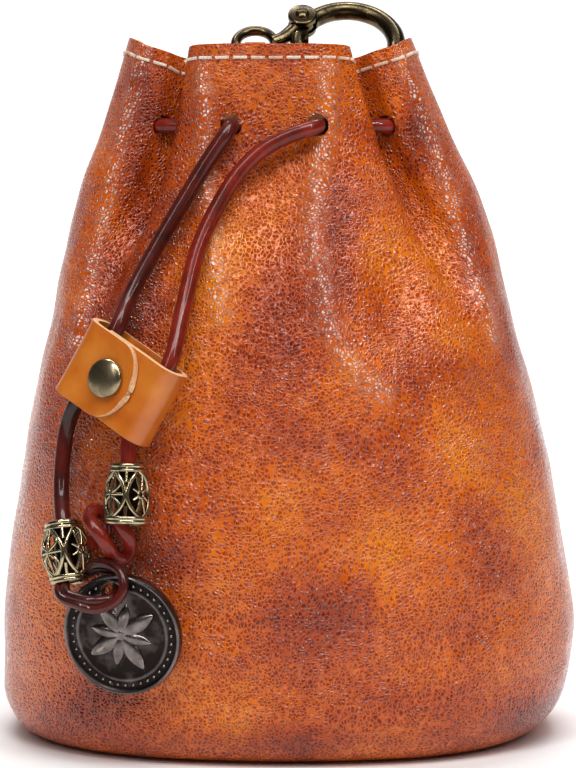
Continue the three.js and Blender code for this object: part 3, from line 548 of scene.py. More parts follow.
creases = add_node(
    leather, "ShaderNodeTexVoronoi", {"feature": "DISTANCE_TO_EDGE", "Scale": 1 / (CREASE * MM)},
    {"Vector": shaken},
)
line = add_node(
    leather, "ShaderNodeMapRange",
    {"From Min": 0.02, "From Max": 0.24, "To Min": 1.0, "To Max": 0.0, "interpolation_type": "SMOOTHSTEP"},
    {"Value": pebbles},
)
crease_line = add_node(
    leather, "ShaderNodeMapRange",
    {"From Min": 0.0, "From Max": 0.055, "To Min": 1.0, "To Max": 0.0, "interpolation_type": "SMOOTHSTEP"},
    {"Value": creases},
)
where = add_node(leather, "ShaderNodeTexNoise", {"Scale": 1 / (13.3 * MM), "Detail": 3.0}, {"Vector": drift})
crease_share = add_node(
    leather, "ShaderNodeMapRange", {"From Min": 0.42, "From Max": 0.62}, {"Value": where}
)
crease_shown = add_node(
    leather, "ShaderNodeMath", {"operation": "MULTIPLY"},
    {0: crease_line, 1: crease_share},
)
clouds = add_node(
    leather, "ShaderNodeTexNoise",
    {"Scale": 1 / (19.2 * MM), "Detail": 5.0, "Roughness": 0.58, "Distortion": 0.4},
    {"Vector": place},
)
# The attribute carries the listed dye clouds and the painted shade along the bottom edge.
placed = add_node(leather, "ShaderNodeAttribute", {"attribute_name": "dye"})
placed_share = add_node(
    leather, "ShaderNodeMath", {"operation": "MULTIPLY_ADD", 1: 0.38, 2: -0.27}, {0: placed.outputs["Fac"]}
)
cloud_sum = add_node(
    leather, "ShaderNodeMath", {"operation": "MULTIPLY_ADD", 1: 1.25},
    {0: clouds, 2: placed_share},
)
speck = add_node(leather, "ShaderNodeTexNoise", {"Scale": 1 / (2.4 * MM), "Detail": 3.0}, {"Vector": place})
cloudy = add_node(
    leather, "ShaderNodeMath", {"operation": "MULTIPLY_ADD", 1: 0.35, "use_clamp": True},
    {0: speck, 2: cloud_sum},
)
pebble_colour = add_node(
    leather, "ShaderNodeValToRGB",
    {"stops": [(0.2, "#c2591f"), (0.45, "#aa3f16"), (0.7, "#862710"), (1.0, "#56130a")]},
    {0: cloudy},
)
line_colour = add_node(
    leather, "ShaderNodeValToRGB",
    {"stops": [(0.2, "#ee9044"), (0.45, "#de7232"), (0.7, "#c05426"), (1.0, "#943619")]},
    {0: cloudy},
)
grain = add_node(leather, "ShaderNodeMixRGB", links={0: line, 1: pebble_colour, 2: line_colour})
cell_value = add_node(leather, "ShaderNodeSeparateColor", links={0: cells.outputs["Color"]})
# Each pebble took the dye a little differently.
cell_share = add_node(
    leather, "ShaderNodeMapRange", {"To Min": 0.86, "To Max": 1.08}, {"Value": cell_value.outputs[0]}
)
varied = add_node(
    leather, "ShaderNodeHueSaturation", {"Saturation": 1.12}, {"Color": grain, "Value": cell_share}
)
creased = add_node(
    leather, "ShaderNodeMixRGB", {"blend_type": "MIX"},
    {0: crease_shown, 1: varied, 2: line_colour},
)
pebble_height = add_node(
    leather, "ShaderNodeMapRange", {"From Min": 0.0, "From Max": 0.55, "interpolation_type": "SMOOTHSTEP"},
    {"Value": pebbles},
)
# The painted highlight along the ridges, shown in patches on the pebble tops.
rub = add_node(leather, "ShaderNodeAttribute", {"attribute_name": "rub"})
highlight_patches = add_node(
    leather, "ShaderNodeMapRange", {"From Min": 0.4, "From Max": 0.56, "To Min": 0.12, "To Max": 1.15},
    {"Value": shake},
)
highlight_share = add_node(
    leather, "ShaderNodeMath", {"operation": "MULTIPLY"},
    {0: rub.outputs["Fac"], 1: highlight_patches},
)
highlight_tops = add_node(
    leather, "ShaderNodeMapRange", {"From Min": 0.1, "From Max": 0.5, "interpolation_type": "SMOOTHSTEP"},
    {"Value": pebble_height},
)
highlight_shown = add_node(
    leather, "ShaderNodeMath", {"operation": "MULTIPLY", "use_clamp": True},
    {0: highlight_share, 1: highlight_tops},
)
# Mixes the painted near-white highlight into the leather's colour.
burnished = add_node(
    leather, "ShaderNodeMixRGB", {2: linear("#ffe6d6")}, {0: highlight_shown, 1: creased}
)
crease_depth = add_node(
    leather, "ShaderNodeMath", {"operation": "MULTIPLY_ADD", 1: -0.3},
    {0: crease_shown, 2: pebble_height},
)
skin = add_node(
    leather, "ShaderNodeMath", {"operation": "MULTIPLY_ADD", 1: 0.15},
    {0: shake, 2: crease_depth},
)
relief = add_node(leather, "ShaderNodeBump", {"Strength": 0.9, "Distance": 0.0003}, {"Height": skin})
glaze = add_node(leather, "ShaderNodeBump", {"Strength": 0.8, "Distance": 0.0003}, {"Height": skin})
gloss = add_node(
    leather, "ShaderNodeMapRange", {"From Min": 0.3, "From Max": 0.7, "To Min": 0.28, "To Max": 0.4},
    {"Value": where},
)
connect(
    leather, shader, {"Coat Weight": 0.8, "Coat Roughness": 0.11, "Specular IOR Level": 0.16},
    {"Base Color": burnished, "Roughness": gloss, "Normal": relief, "Coat Normal": glaze},
)


def fibre_material(name, pale, dark, size, roughness, depth):
    """Raw leather: loose fibres of a pale and a dark colour, of a size and depth in millimetres."""
    material, shader, place = new_material(name)
    fibres = add_node(
        material, "ShaderNodeTexNoise", {"Scale": 1 / (size * MM), "Detail": 6.0, "Roughness": 0.7},
        {"Vector": place},
    )
    colour = add_node(material, "ShaderNodeValToRGB", {"stops": [(0.3, dark), (0.7, pale)]}, {0: fibres})
    nap = add_node(
        material, "ShaderNodeBump", {"Strength": 0.6, "Distance": depth * MM}, {"Height": fibres}
    )
    connect(material, shader, {"Roughness": roughness}, {"Base Color": colour, "Normal": nap})
    return material


# The inside is dull and hairy. The cut edges are paler than the grain side and rubbed smooth.
flesh_side = fibre_material("suede flesh side", "#b98a5e", "#8a5a36", 0.7, 0.9, 0.15)
cut_edge = fibre_material("burnished cut edge", "#d98c50", "#a35a2c", 0.5, 0.45, 0.08)
finish_piece(pouch, leather, flesh_side, cut_edge, angle=50, slot="leather", nodes=["pouch_body"])

# Base
# An oval panel of the same leather, 2 mm thick. The wall is turned under round it and sewn to it, so
# only its edge would show from the side.
BASE_THICKNESS = 2.0
GAP = 0.3
outline = inset_row(lowest, EDGE_IN + TURN_UNDER + GAP, 0)
outline_share = smoothstep(outline[:, 0] / BAG_HALF_WIDTH, 0.3, 1)
outline[:, 0] -= SAG * outline_share
bpy.ops.mesh.primitive_circle_add(vertices=len(outline), fill_type="NGON")
base = bpy.context.object
base.name = "base_panel"
for vertex, corner in zip(base.data.vertices, outline):
    vertex.co = corner * MM
upwards = 1 if base.data.polygons[0].normal.z > 0 else -1
modify(base, "SOLIDIFY", thickness=BASE_THICKNESS * MM, offset=upwards)
modify(base, "BEVEL", width=0.3 * MM, segments=2, angle_limit=math.radians(60))
finish_piece(base, leather, angle=50, slot="leather", nodes=["pouch_base"])

# Stitching
# A saddle-stitched row of waxed cream linen thread, 2.9 mm under the rim. Each stitch is 2.7 mm long
# and sinks a little at its ends, and the row shows outside and inside.
STITCH = 2.75
STITCH_PITCH = 3.15
STITCH_DROP = 2.9
THREAD_RADIUS = 0.16

# The twisted plies give each stitch a fine diagonal shade, and handling has soiled some of them.
thread, shader, place = new_material("waxed linen thread")
twist = add_node(thread, "ShaderNodeTexNoise", {"Scale": 1 / (0.31 * MM), "Detail": 3.0}, {"Vector": place})
soiled = add_node(thread, "ShaderNodeTexNoise", {"Scale": 1 / (6.2 * MM), "Detail": 2.0}, {"Vector": place})
ply_colour = add_node(
    thread, "ShaderNodeValToRGB", {"stops": [(0.3, "#cbb096"), (0.6, "#f6ece0")]}, {0: twist}
)
soil = add_node(thread, "ShaderNodeValToRGB", {"stops": [(0.35, "#e8c8b0"), (0.6, "#ffffff")]}, {0: soiled})
worn = add_node(thread, "ShaderNodeMixRGB", {"blend_type": "MULTIPLY", 0: 1.0}, {1: ply_colour, 2: soil})
plies = add_node(thread, "ShaderNodeBump", {"Strength": 0.7, "Distance": 0.08 * MM}, {"Height": twist})
connect(thread, shader, {"Roughness": 0.6, "Sheen Weight": 0.2}, {"Base Color": worn, "Normal": plies})

rim_down = np.linalg.norm(np.diff(leather_rows[::-1], axis=0), axis=2).cumsum(axis=0)
seam_row = (rim_down < STITCH_DROP).sum(axis=0)
seam = np.array([leather_rows[-1 - seam_row[i], i] for i in range(COLUMNS)])
seam_normals = outward_normals(leather_rows)[-5]


def copies(name, piece, matrices):
    """One piece made of copies of another, which is deleted."""
    made = []
    for matrix in matrices:
        copy = piece.copy()
        copy.data = piece.data.copy()
        copy.data.transform(matrix)
        bpy.context.collection.objects.link(copy)
        made.append(copy)
    bpy.data.objects.remove(piece)
    return joined(name, made)


def joined(name, parts):
    bpy.ops.object.select_all(action="DESELECT")
    for part in parts:
        part.select_set(True)
    bpy.context.view_layer.objects.active = parts[0]
    bpy.ops.object.join()
    whole = bpy.context.object
    whole.name = name
    return whole


bpy.ops.mesh.primitive_cylinder_add(
    vertices=8, radius=THREAD_RADIUS * MM, depth=(STITCH - 3 * THREAD_RADIUS) * MM,
    rotation=(0, math.pi / 2, 0),
)
stitch = bpy.context.object
bpy.ops.object.transform_apply(rotation=True)
bpy.ops.object.mode_set(mode="EDIT")
bpy.ops.mesh.select_all(action="DESELECT")
bpy.ops.object.mode_set(mode="OBJECT")
for face in stitch.data.polygons:
    face.select = abs(face.normal.x) > 0.9
bpy.ops.object.mode_set(mode="EDIT")
bpy.ops.mesh.extrude_region_shrink_fatten(TRANSFORM_OT_shrink_fatten={"value": THREAD_RADIUS * MM})
bpy.ops.object.mode_set(mode="OBJECT")
for vertex in stitch.data.vertices:
    if abs(vertex.co.x) > (STITCH / 2 - 0.8 * THREAD_RADIUS) * MM:
        vertex.co = Vector((vertex.co.x, vertex.co.y * 0.45, vertex.co.z * 0.45 - 0.12 * MM))

seam_steps = np.linalg.norm(np.roll(seam, -1, axis=0) - seam, axis=1)
seam_length = seam_steps.sum()
seam_count = round(seam_length / STITCH_PITCH)
seam_at = np.concatenate([[0], seam_steps.cumsum()])
seam_closed = np.vstack([seam, seam[:1]])
normals_closed = np.vstack([seam_normals, seam_normals[:1]])


def along_seam(distance):
    spot = [np.interp(distance % seam_length, seam_at, seam_closed[:, axis]) for axis in range(3)]
    out = [np.interp(distance % seam_length, seam_at, normals_closed[:, axis]) for axis in range(3)]
    return Vector(spot), Vector(out).normalized()


stitch_places = []
for i in range(seam_count):
    middle = i * seam_length / seam_count
    ahead, behind = along_seam(middle + STITCH / 2)[0], along_seam(middle - STITCH / 2)[0]
    spot, out = along_seam(middle)
    x_axis = (ahead - behind).normalized()
    y_axis = out.cross(x_axis).normalized()
    z_axis = x_axis.cross(y_axis)
    for lift, side in ((0.12, 1), (-WALL - 0.12, -1)):
        turn = Matrix((x_axis, y_axis * side, z_axis * side)).transposed().to_4x4()
        at = ((ahead + behind) / 2 * 0.5 + spot * 0.5 + z_axis * lift) * MM
        stitch_places.append(Matrix.Translation(at) @ turn)
stitching = copies("rim_stitching", stitch, stitch_places)
finish_piece(stitching, thread, angle=60, slot="leather")

# Slider
# A strap of smooth tan leather, 14 mm wide, wound round the two tails and riveted to itself. Its round
# end lies on top, and its cut edges are pale.
STRAP_HALF_LENGTH = 10.0
STRAP_THICKNESS = 1.2
STRAP_CORNER = 2.8
STRAP_ROOM = 0.6
FLAP_END = 4.4
RIVET_OFFSET = -0.6

threaded = np.array([LEFT_IN_SLIDER, RIGHT_IN_SLIDER])
slider_up = threaded[0, 0] - threaded[0, 1]
strap_half_width = np.linalg.norm(slider_up) / 2
slider_up /= np.linalg.norm(slider_up)
slider_out = np.cross(threaded[1, 0] - threaded[0, 0], slider_up)
slider_out /= np.linalg.norm(slider_out)
slider_across = np.cross(slider_up, slider_out)
slider_place = Matrix((slider_across, -slider_out, slider_up)).transposed().to_4x4()
slider_place.translation = Vector(threaded.reshape(-1, 3).mean(axis=0) * MM)

strap_half = CORD_RADIUS + STRAP_ROOM + STRAP_THICKNESS
middle_y = strap_half - STRAP_THICKNESS / 2
corner = STRAP_CORNER - STRAP_THICKNESS / 2
straight = STRAP_HALF_LENGTH - STRAP_CORNER


def arc(centre, radii, start, end, steps):
    angles = np.radians(np.linspace(start, end, steps))
    return [(centre[0] + radii[0] * math.cos(a), centre[1] + radii[1] * math.sin(a)) for a in angles]


winding = [(x, -middle_y) for x in np.linspace(-5.5, straight, 14)]
winding += arc((straight, corner - middle_y), (corner, corner), -90, 0, 7)[1:]
winding += arc((straight, middle_y - corner), (corner, corner), 0, 90, 7)[1:]
winding += [(x, middle_y) for x in np.linspace(straight, -straight, 14)][1:]
outer_y = middle_y + STRAP_THICKNESS
turn_y = (middle_y - outer_y) / 2
winding += arc((-straight, turn_y), (corner + 0.4, middle_y - turn_y), 90, 270, 16)[1:]
flap_depth = strap_half_width * 0.75
winding += [(x, -outer_y) for x in np.linspace(-straight, FLAP_END - flap_depth, 9)][1:]
flap_turns = np.radians(np.linspace(0, 87, 20))
winding += [(FLAP_END - flap_depth * (1 - math.sin(a)), -outer_y) for a in flap_turns][1:]
winding = np.array(winding)
winding[:, 0] = np.minimum(winding[:, 0], STRAP_HALF_LENGTH)


def strap_half_width_at(index):
    x, y = winding[index]
    over = (x - (FLAP_END - flap_depth)) / flap_depth
    if y > -outer_y + 0.01 or over <= 0:
        return strap_half_width
    return strap_half_width * math.sqrt(1 - over**2)


STRAP_ACROSS = 12
bpy.ops.mesh.primitive_grid_add(x_subdivisions=len(winding) - 1, y_subdivisions=STRAP_ACROSS, size=1)
strap = bpy.context.object
strap.name = "slider_strap_leather"
for vertex in strap.data.vertices:
    index = round((vertex.co.x + 0.5) * (len(winding) - 1))
    across = vertex.co.y * 2
    x, y = winding[index]
    half = strap_half_width_at(index)
    pressed = math.exp(-((x - RIVET_OFFSET) ** 2 + (across * half) ** 2) / 9.0)
    bulge = math.exp(-((abs(x) - 6.5) ** 2) / 5.0)
    y += (0.22 * pressed - 0.18 * bulge) * (1 if y < 0 else -1)
    edge_curl = 0.18 * abs(across) ** 6 * (1 if y > -outer_y + 0.5 else 0.4)
    vertex.co = Vector((x, y - edge_curl if y < 0 else y + edge_curl, across * half)) * MM
for side in ("grain side", "cut edge"):
    strap.data.materials.append(None)
modify(strap, "SOLIDIFY", thickness=(STRAP_THICKNESS - 0.1) * MM, offset=0, material_offset_rim=1)
modify(strap, "BEVEL", width=0.22 * MM, segments=2, angle_limit=math.radians(50))
strap.data.transform(slider_place)

# Smooth bridle leather with a wax finish: a few scratches, a soft sheen and slightly uneven dye.
smooth_leather, shader, place = new_material("waxed bridle leather")
uneven = add_node(
    smooth_leather, "ShaderNodeTexNoise", {"Scale": 1 / (7.7 * MM), "Detail": 5.0}, {"Vector": place}
)
pores = add_node(
    smooth_leather, "ShaderNodeTexVoronoi", {"feature": "F1", "Scale": 1 / (0.6 * MM)}, {"Vector": place}
)
strap_colour = add_node(
    smooth_leather, "ShaderNodeValToRGB",
    {"stops": [(0.3, "#aa5010"), (0.5, "#c26617"), (0.7, "#d07a22")]},
    {0: uneven},
)
strap_skin = add_node(
    smooth_leather, "ShaderNodeBump", {"Strength": 0.25, "Distance": 0.00006}, {"Height": pores}
)
strap_gloss = add_node(
    smooth_leather, "ShaderNodeMapRange", {"From Min": 0.3, "From Max": 0.7, "To Min": 0.24, "To Max": 0.4},
    {"Value": uneven},
)
connect(
    smooth_leather, shader, {"Coat Weight": 0.25, "Coat Roughness": 0.25},
    {"Base Color": strap_colour, "Roughness": strap_gloss, "Normal": strap_skin},
)
# The strap's edge was cut and left raw, so it shows as a pale line.
pale_edge = fibre_material("raw cut edge", "#f0c898", "#c98f5a", 0.45, 0.6, 0.06)
finish_piece(strap, smooth_leather, pale_edge, angle=45, slot="strap_leather", nodes=["slider_strap"])


def turned_piece(name, profile, sides, matrix):
    """A profile of (radius, height) in millimetres, spun about Z as on a lathe and set in place."""
    mesh = bpy.data.meshes.new(name)
    piece = bpy.data.objects.new(name, mesh)
    bpy.context.collection.objects.link(piece)
    corners = [(radius * MM, 0, height * MM) for radius, height in profile]
    mesh.from_pydata(corners, [(i, i + 1) for i in range(len(corners) - 1)], [])
    bpy.ops.object.select_all(action="DESELECT")
    piece.select_set(True)
    bpy.context.view_layer.objects.active = piece
    bpy.ops.object.mode_set(mode="EDIT")
    bpy.ops.mesh.select_all(action="SELECT")
    bpy.ops.mesh.spin(steps=sides, angle=2 * math.pi, center=(0, 0, 0), axis=(0, 0, 1))
    bpy.ops.mesh.select_all(action="SELECT")
    bpy.ops.mesh.remove_doubles(threshold=1e-6)
    bpy.ops.mesh.normals_make_consistent(inside=False)
    bpy.ops.object.mode_set(mode="OBJECT")
    mesh.transform(matrix)
    return piece


# Rivet
# A domed cap rivet of pale antique brass, nearly 7 mm wide. Its post goes through all layers of the
# strap and is set into a low washer at the back.
RIVET_CAP = 3.4
rivet_front = strap_half + STRAP_THICKNESS + 0.1
rivet_back = -strap_half - GAP
rivet_profile = [(0, rivet_back - 0.5), (2.1, rivet_back - 0.5), (2.4, rivet_back - 0.25), (2.4, rivet_back)]
rivet_profile += [(0.9, rivet_back), (0.9, rivet_front)]
rivet_profile += [(3.1, rivet_front), (3.35, rivet_front + 0.15), (3.42, rivet_front + 0.4)]
for angle in np.radians(np.linspace(90, 0, 12)):
    rivet_profile.append((RIVET_CAP * math.sin(angle), rivet_front + 0.5 + 1.1 * math.cos(angle)))
to_front = Matrix.Rotation(math.pi / 2, 4, "X")
rivet_place = slider_place @ Matrix.Translation((RIVET_OFFSET * MM, 0, 0)) @ to_front
rivet = turned_piece("slider_rivet_brass", rivet_profile, 48, rivet_place)


def metal_material(name, bright, dark, wear, size, roughness, dent, spread=(0.4, 0.8)):
    """Metal with dark tarnish in patches of a size in millimetres, and bright where it is rubbed."""
    material, shader, place = new_material(name)
    patches = add_node(
        material, "ShaderNodeTexNoise", {"Scale": 1 / (size * MM), "Detail": 6.0, "Roughness": 0.6},
        {"Vector": place},
    )
    rubbed = add_node(material, "ShaderNodeNewGeometry")
    ridges = add_node(
        material, "ShaderNodeMapRange",
        {"From Min": 0.47, "From Max": 0.58, "To Min": -0.25, "To Max": 0.45},
        {"Value": rubbed.outputs["Pointiness"]},
    )
    worn = add_node(
        material, "ShaderNodeMath", {"operation": "MULTIPLY_ADD", 1: wear},
        {0: ridges, 2: patches},
    )
    colour = add_node(
        material, "ShaderNodeValToRGB", {"stops": [(spread[0], dark), (spread[1], bright)]}, {0: worn}
    )
    gloss = add_node(
        material, "ShaderNodeMapRange",
        {"From Min": 0.3, "From Max": 0.75, "To Min": roughness + 0.16, "To Max": roughness - 0.04},
        {"Value": worn},
    )
    pits = add_node(
        material, "ShaderNodeTexNoise", {"Scale": 1 / (0.67 * MM), "Detail": 4.0}, {"Vector": place}
    )
    surface = add_node(
        material, "ShaderNodeBump", {"Strength": 0.35, "Distance": dent * MM}, {"Height": pits}
    )
    connect(
        material, shader, {"Metallic": 1.0}, {"Base Color": colour, "Roughness": gloss, "Normal": surface}
    )
    return material


# The cap is polished by wear, so it mirrors the room, with dull spots.
rivet_brass = metal_material("polished antique brass", "#b5a788", "#7d7058", 0.5, 2.2, 0.24, 0.03)
finish_piece(rivet, rivet_brass, angle=40, slot="rivet_brass", nodes=["slider_rivet"])

# Beads
# Two cast openwork beads of blackened brass: a bell on the right tail and a barrel on the left one.
# Between a ring at each end run pointed ovals filled with wires, a star in one and a cross in the next.
# The wires are rubbed bright, and a near-black sleeve inside each bead is painted shade over the cord in its
# bore.
# Painted shade: a near-black material for the sleeve inside each bead.
bore_shade_black = metal_material("painted shade in the bead's bore", "#2a2219", "#0d0a08", 0.5, 1.6, 0.4, 0.05)
antique_brass = metal_material(
    "blackened cast brass", "#c0b190", "#17120d", 0.5, 2.0, 0.2, 0.05, (0.4, 0.72)
)
BELL_RADIUS = 4.15
BARREL_RADIUS = 4.3
BELL_PROFILE = [(1.0, 0.68), (0.93, 0.7), (0.75, 0.86), (0.4, 0.96), (0.08, 0.98), (0.0, 1.0)]
BARREL_PROFILE = [(1.0, 0.7), (0.9, 0.78), (0.62, 1.0), (0.38, 1.0), (0.12, 0.8), (0.0, 0.74)]
PANELS = 4
PANEL_WAIST = 0.47
WIRE = 0.3


def openwork_bead(name, ends, profile, radius, node):
    top, bottom = Vector(ends[0]), Vector(ends[1])
    length = (top - bottom).length
    heights, shares = zip(*sorted(profile))
    lean = Vector((0, 0, 1)).rotation_difference(top - bottom)
    bead_place = Matrix.Translation(bottom * MM) @ lean.to_matrix().to_4x4()

    def on_bead(across, up, lift=0.0):
        """A point of the wall: across in radians, up as a share of the length."""
        reach = radius * float(np.interp(up, heights, shares)) - 0.35 + lift
        return reach * math.sin(across), -reach * math.cos(across), up * length

    wires = []
    half_turn = math.pi / PANELS
    half_height = 0.41
    for panel in range(PANELS):
        centre = 2 * half_turn * (panel + 0.5)

        def bent(across, up):
            return on_bead(centre + across * half_turn, PANEL_WAIST + up * half_height)

        steps = np.linspace(-1, 1, 15)
        for side in (1, -1):
            oval = [bent(side * 0.93 * (1 - t * t) ** 0.8, t) for t in steps]
            wires.append(swept_bar(oval, WIRE + 0.06, 2))
        wires.append(swept_bar([on_bead(centre + half_turn, u) for u in (0.04, 0.16, 0.27)], WIRE, 2))
        wires.append(swept_bar([on_bead(centre + half_turn, u) for u in (0.67, 0.8, 0.93)], WIRE, 2))
        if panel % 2 == 0:
            turns = np.linspace(0, 2 * math.pi, 13)[:-1]
            ring = [bent(0.2 * math.cos(a), 0.15 * math.sin(a)) for a in turns]
            wires.append(swept_bar(ring, WIRE * 0.85, 2, closed=True))
            for ray in range(8):
                a = (ray + 0.5) * math.pi / 4
                far = 0.86 if ray % 4 in (1, 2) else 0.62
                spoke = [(0.2 + (far - 0.2) * t) for t in (0, 0.5, 1)]
                spoke = [bent(0.95 * r * math.cos(a), r * math.sin(a)) for r in spoke]
                wires.append(swept_bar(spoke, WIRE * 0.75, 2))
        else:
            wires.append(swept_bar([bent(0, t) for t in steps], WIRE * 0.85, 2))
            wires.append(swept_bar([bent(t * 0.9, 0) for t in np.linspace(-1, 1, 9)], WIRE * 0.85, 2))
            for side in (1, -1):
                for end in (1, -1):
                    petal = []
                    for t in np.linspace(0, 1, 9):
                        petal.append(bent(side * 0.62 * math.sin(t * math.pi), end * (0.04 + 0.86 * t)))
                    wires.append(swept_bar(petal, WIRE * 0.75, 2))
    # A near-black sleeve round the bore, painted shade over the cord inside.
    bore, low, high = CORD_RADIUS + 0.25, 0.02 * length, 0.98 * length
    tube = [(bore, low), (bore + 0.3, low), (bore + 0.3, high), (bore, high)]
    bore_shade_sleeve = turned_piece("bore_shade_sleeve", tube + tube[:1], 24, Matrix())
    bore_shade_sleeve.data.materials.append(bore_shade_black)
    for up, thick, share in ((0.96, 0.5, 0.98), (0.88, 0.3, 0.99), (0.06, 0.42, 1.0), (0.0, 0.5, 0.97)):
        reach = radius * float(np.interp(up, heights, shares)) * share - thick * 0.6
        bpy.ops.mesh.primitive_torus_add(
            major_radius=reach * MM, minor_radius=thick * MM, major_segments=40, minor_segments=10,
            location=(0, 0, up * length * MM),
        )
        bpy.ops.object.transform_apply(location=True)
        wires.append(bpy.context.object)
    for part in wires:
        part.data.materials.clear()
        part.data.materials.append(antique_brass)
    bead = joined(name, wires + [bore_shade_sleeve])
    bead.data.transform(bead_place)
    finish_piece(bead, angle=60, slot="antique_brass", nodes=[node])
    return bead


bell_bead = openwork_bead("bell_bead_openwork", BELL_BEAD_ENDS, BELL_PROFILE, BELL_RADIUS, "bell_bead")
barrel_bead = openwork_bead(
    "barrel_bead_openwork", BARREL_BEAD_ENDS, BARREL_PROFILE, BARREL_RADIUS, "barrel_bead"
)

# Knot
# The right tail ends under its bead in a knot that keeps the bead on. The cord turns up round itself
# and its cut end points left.
KNOT = [
    (-29.5, -36.4, 43.7), (-28.4, -37.0, 42.1), (-27.3, -36.4, 40.1), (-27.2, -35.4, 38.2),
    (-28.2, -35.0, 36.8), (-29.7, -36.0, 37.1), (-30.8, -37.5, 38.9), (-31.9, -38.0, 40.9),
    (-33.3, -37.4, 42.5), (-34.0, -36.0, 43.9), (-33.4, -34.6, 44.9), (-31.9, -33.8, 44.4),
    (-31.1, -33.4, 42.8), (-31.2, -33.3, 41.0), (-32.6, -34.0, 39.6), (-34.1, -34.8, 39.3),
]
knot = cord_piece("tail_knot", smooth_route(KNOT, 8), 1.3, cord_leather)
finish_piece(knot, cord_leather, angle=50, slot="cord", nodes=["cord_knot"])

# Pendant loop
# Two strands of thinner dark cord from the barrel bead. One hangs as a ring in front of the disc, the
# other goes through the disc's hole and up behind it.
FRONT_STRAND = [
    (-38.0, -33.4, 33.2), (-39.4, -35.6, 31.8), (-38.7, -38.2, 30.4), (-36.1, -40.0, 29.6),
    (-33.3, -40.9, 28.9), (-30.6, -41.4, 29.5), (-28.5, -41.4, 31.1), (-27.9, -41.0, 33.2),
    (-28.6, -39.8, 35.1), (-30.4, -38.4, 36.1), (-32.6, -36.6, 36.2), (-34.4, -34.8, 35.2),
    (-36.1, -33.2, 33.5),
]
THREADED_STRAND = [
    (-38.4, -33.0, 33.7), (-38.3, -36.2, 32.1), (-37.6, -38.6, 31.1), (-35.6, -39.9, 30.6),
    (-33.4, -40.6, 30.3), (-31.3, -40.6, 30.4), (-29.8, -39.6, 30.8), (-29.5, -37.6, 31.1),
    (-29.4, -35.4, 31.8), (-29.6, -34.6, 33.2), (-30.7, -34.6, 34.4), (-32.4, -34.4, 34.8),
    (-34.2, -33.8, 34.1), (-36.0, -32.6, 32.9),
]
STRAND_RADIUS = 0.85
strands = [
    cord_piece("strand", smooth_route(route, 8), STRAND_RADIUS, dark_cord_leather)
    for route in (FRONT_STRAND, THREADED_STRAND)
]
pendant_loop = joined("pendant_loop_cord", strands)
finish_piece(pendant_loop, dark_cord_leather, angle=50, slot="cord", nodes=["pendant_loop"])

# Pendant
# A cast disc of dark pewter, 21 mm wide, with a raised rim, a ring of dots and a raised star, all worn
# bright on top.
DISC_RADIUS = 10.6
DISC_FACE = 0.9
DISC_CENTRE = (-28.2, -37.5, 24.1)
DISC_FACING = Vector((-0.3, -0.94, -0.12)).normalized()
DISC_LEAN = 11
DISC_HOLE = (0, 7.2)
DISC_HOLE_RADIUS = 2.1
disc_up = Vector((-math.tan(math.radians(DISC_LEAN)), 0, 1))
disc_right = disc_up.cross(DISC_FACING).normalized()
disc_up = DISC_FACING.cross(disc_right)
disc_place = Matrix((disc_right, disc_up, DISC_FACING)).transposed().to_4x4()
disc_place.translation = Vector(DISC_CENTRE) * MM
disc_profile = [
    (0, -DISC_FACE), (10.0, -DISC_FACE), (10.4, -0.75), (10.6, -0.4), (10.65, 0), (10.65, 0.9), (10.55, 1.2),
    (10.35, 1.32), (10.1, 1.25), (9.9, 0.95), (9.7, 0.8), (9.2, 0.76), (8.5, 0.8), (8.3, 0.95),
    (8.05, 0.97), (7.8, 0.84), (5.0, 1.0), (3.4, 1.15), (2.0, 1.25), (0, 1.3),
]
disc = turned_piece("pendant_disc_cast", disc_profile, 96, Matrix())
relief_parts = []
for ray in range(8):
    size, half_width = (7.0, 1.5) if ray % 2 == 0 else (5.6, 1.15)
    bpy.ops.mesh.primitive_uv_sphere_add(segments=20, ring_count=14, radius=1)
    part = bpy.context.object
    for vertex in part.data.vertices:
        x, y, z = vertex.co
        narrow = 1 - 0.45 * max(y, 0) ** 2
        rise = DISC_FACE + 0.1 + 0.85 * z * narrow
        vertex.co = Vector((half_width * x * narrow, size * (0.5 + 0.5 * y), rise)) * MM
    part.data.transform(Matrix.Rotation((ray + 0.5) * math.pi / 4, 4, "Z"))
    relief_parts.append(part)
bpy.ops.mesh.primitive_uv_sphere_add(
    segments=24, ring_count=12, radius=1.5 * MM, location=(0, 0, DISC_FACE * MM)
)
boss = bpy.context.object
boss.scale = (1, 1, 0.5)
bpy.ops.object.transform_apply(location=True, scale=True)
relief_parts.append(boss)
for dot in range(40):
    turn = dot / 40 * 2 * math.pi
    at = Vector((9.05 * math.cos(turn), 9.05 * math.sin(turn)))
    if (at - Vector(DISC_HOLE)).length < DISC_HOLE_RADIUS + 0.6:
        continue
    bpy.ops.mesh.primitive_uv_sphere_add(
        segments=10, ring_count=6, radius=0.3 * MM, location=(at.x * MM, at.y * MM, 0.8 * MM)
    )
    bpy.ops.object.transform_apply(location=True)
    relief_parts.append(bpy.context.object)
relief_piece = joined("pendant_relief", relief_parts)
bpy.ops.mesh.primitive_cylinder_add(
    vertices=32, radius=DISC_HOLE_RADIUS * MM, depth=8 * MM,
    location=(DISC_HOLE[0] * MM, DISC_HOLE[1] * MM, 0),
)
drill = bpy.context.object
bpy.ops.object.transform_apply(location=True)
combine(disc, drill)
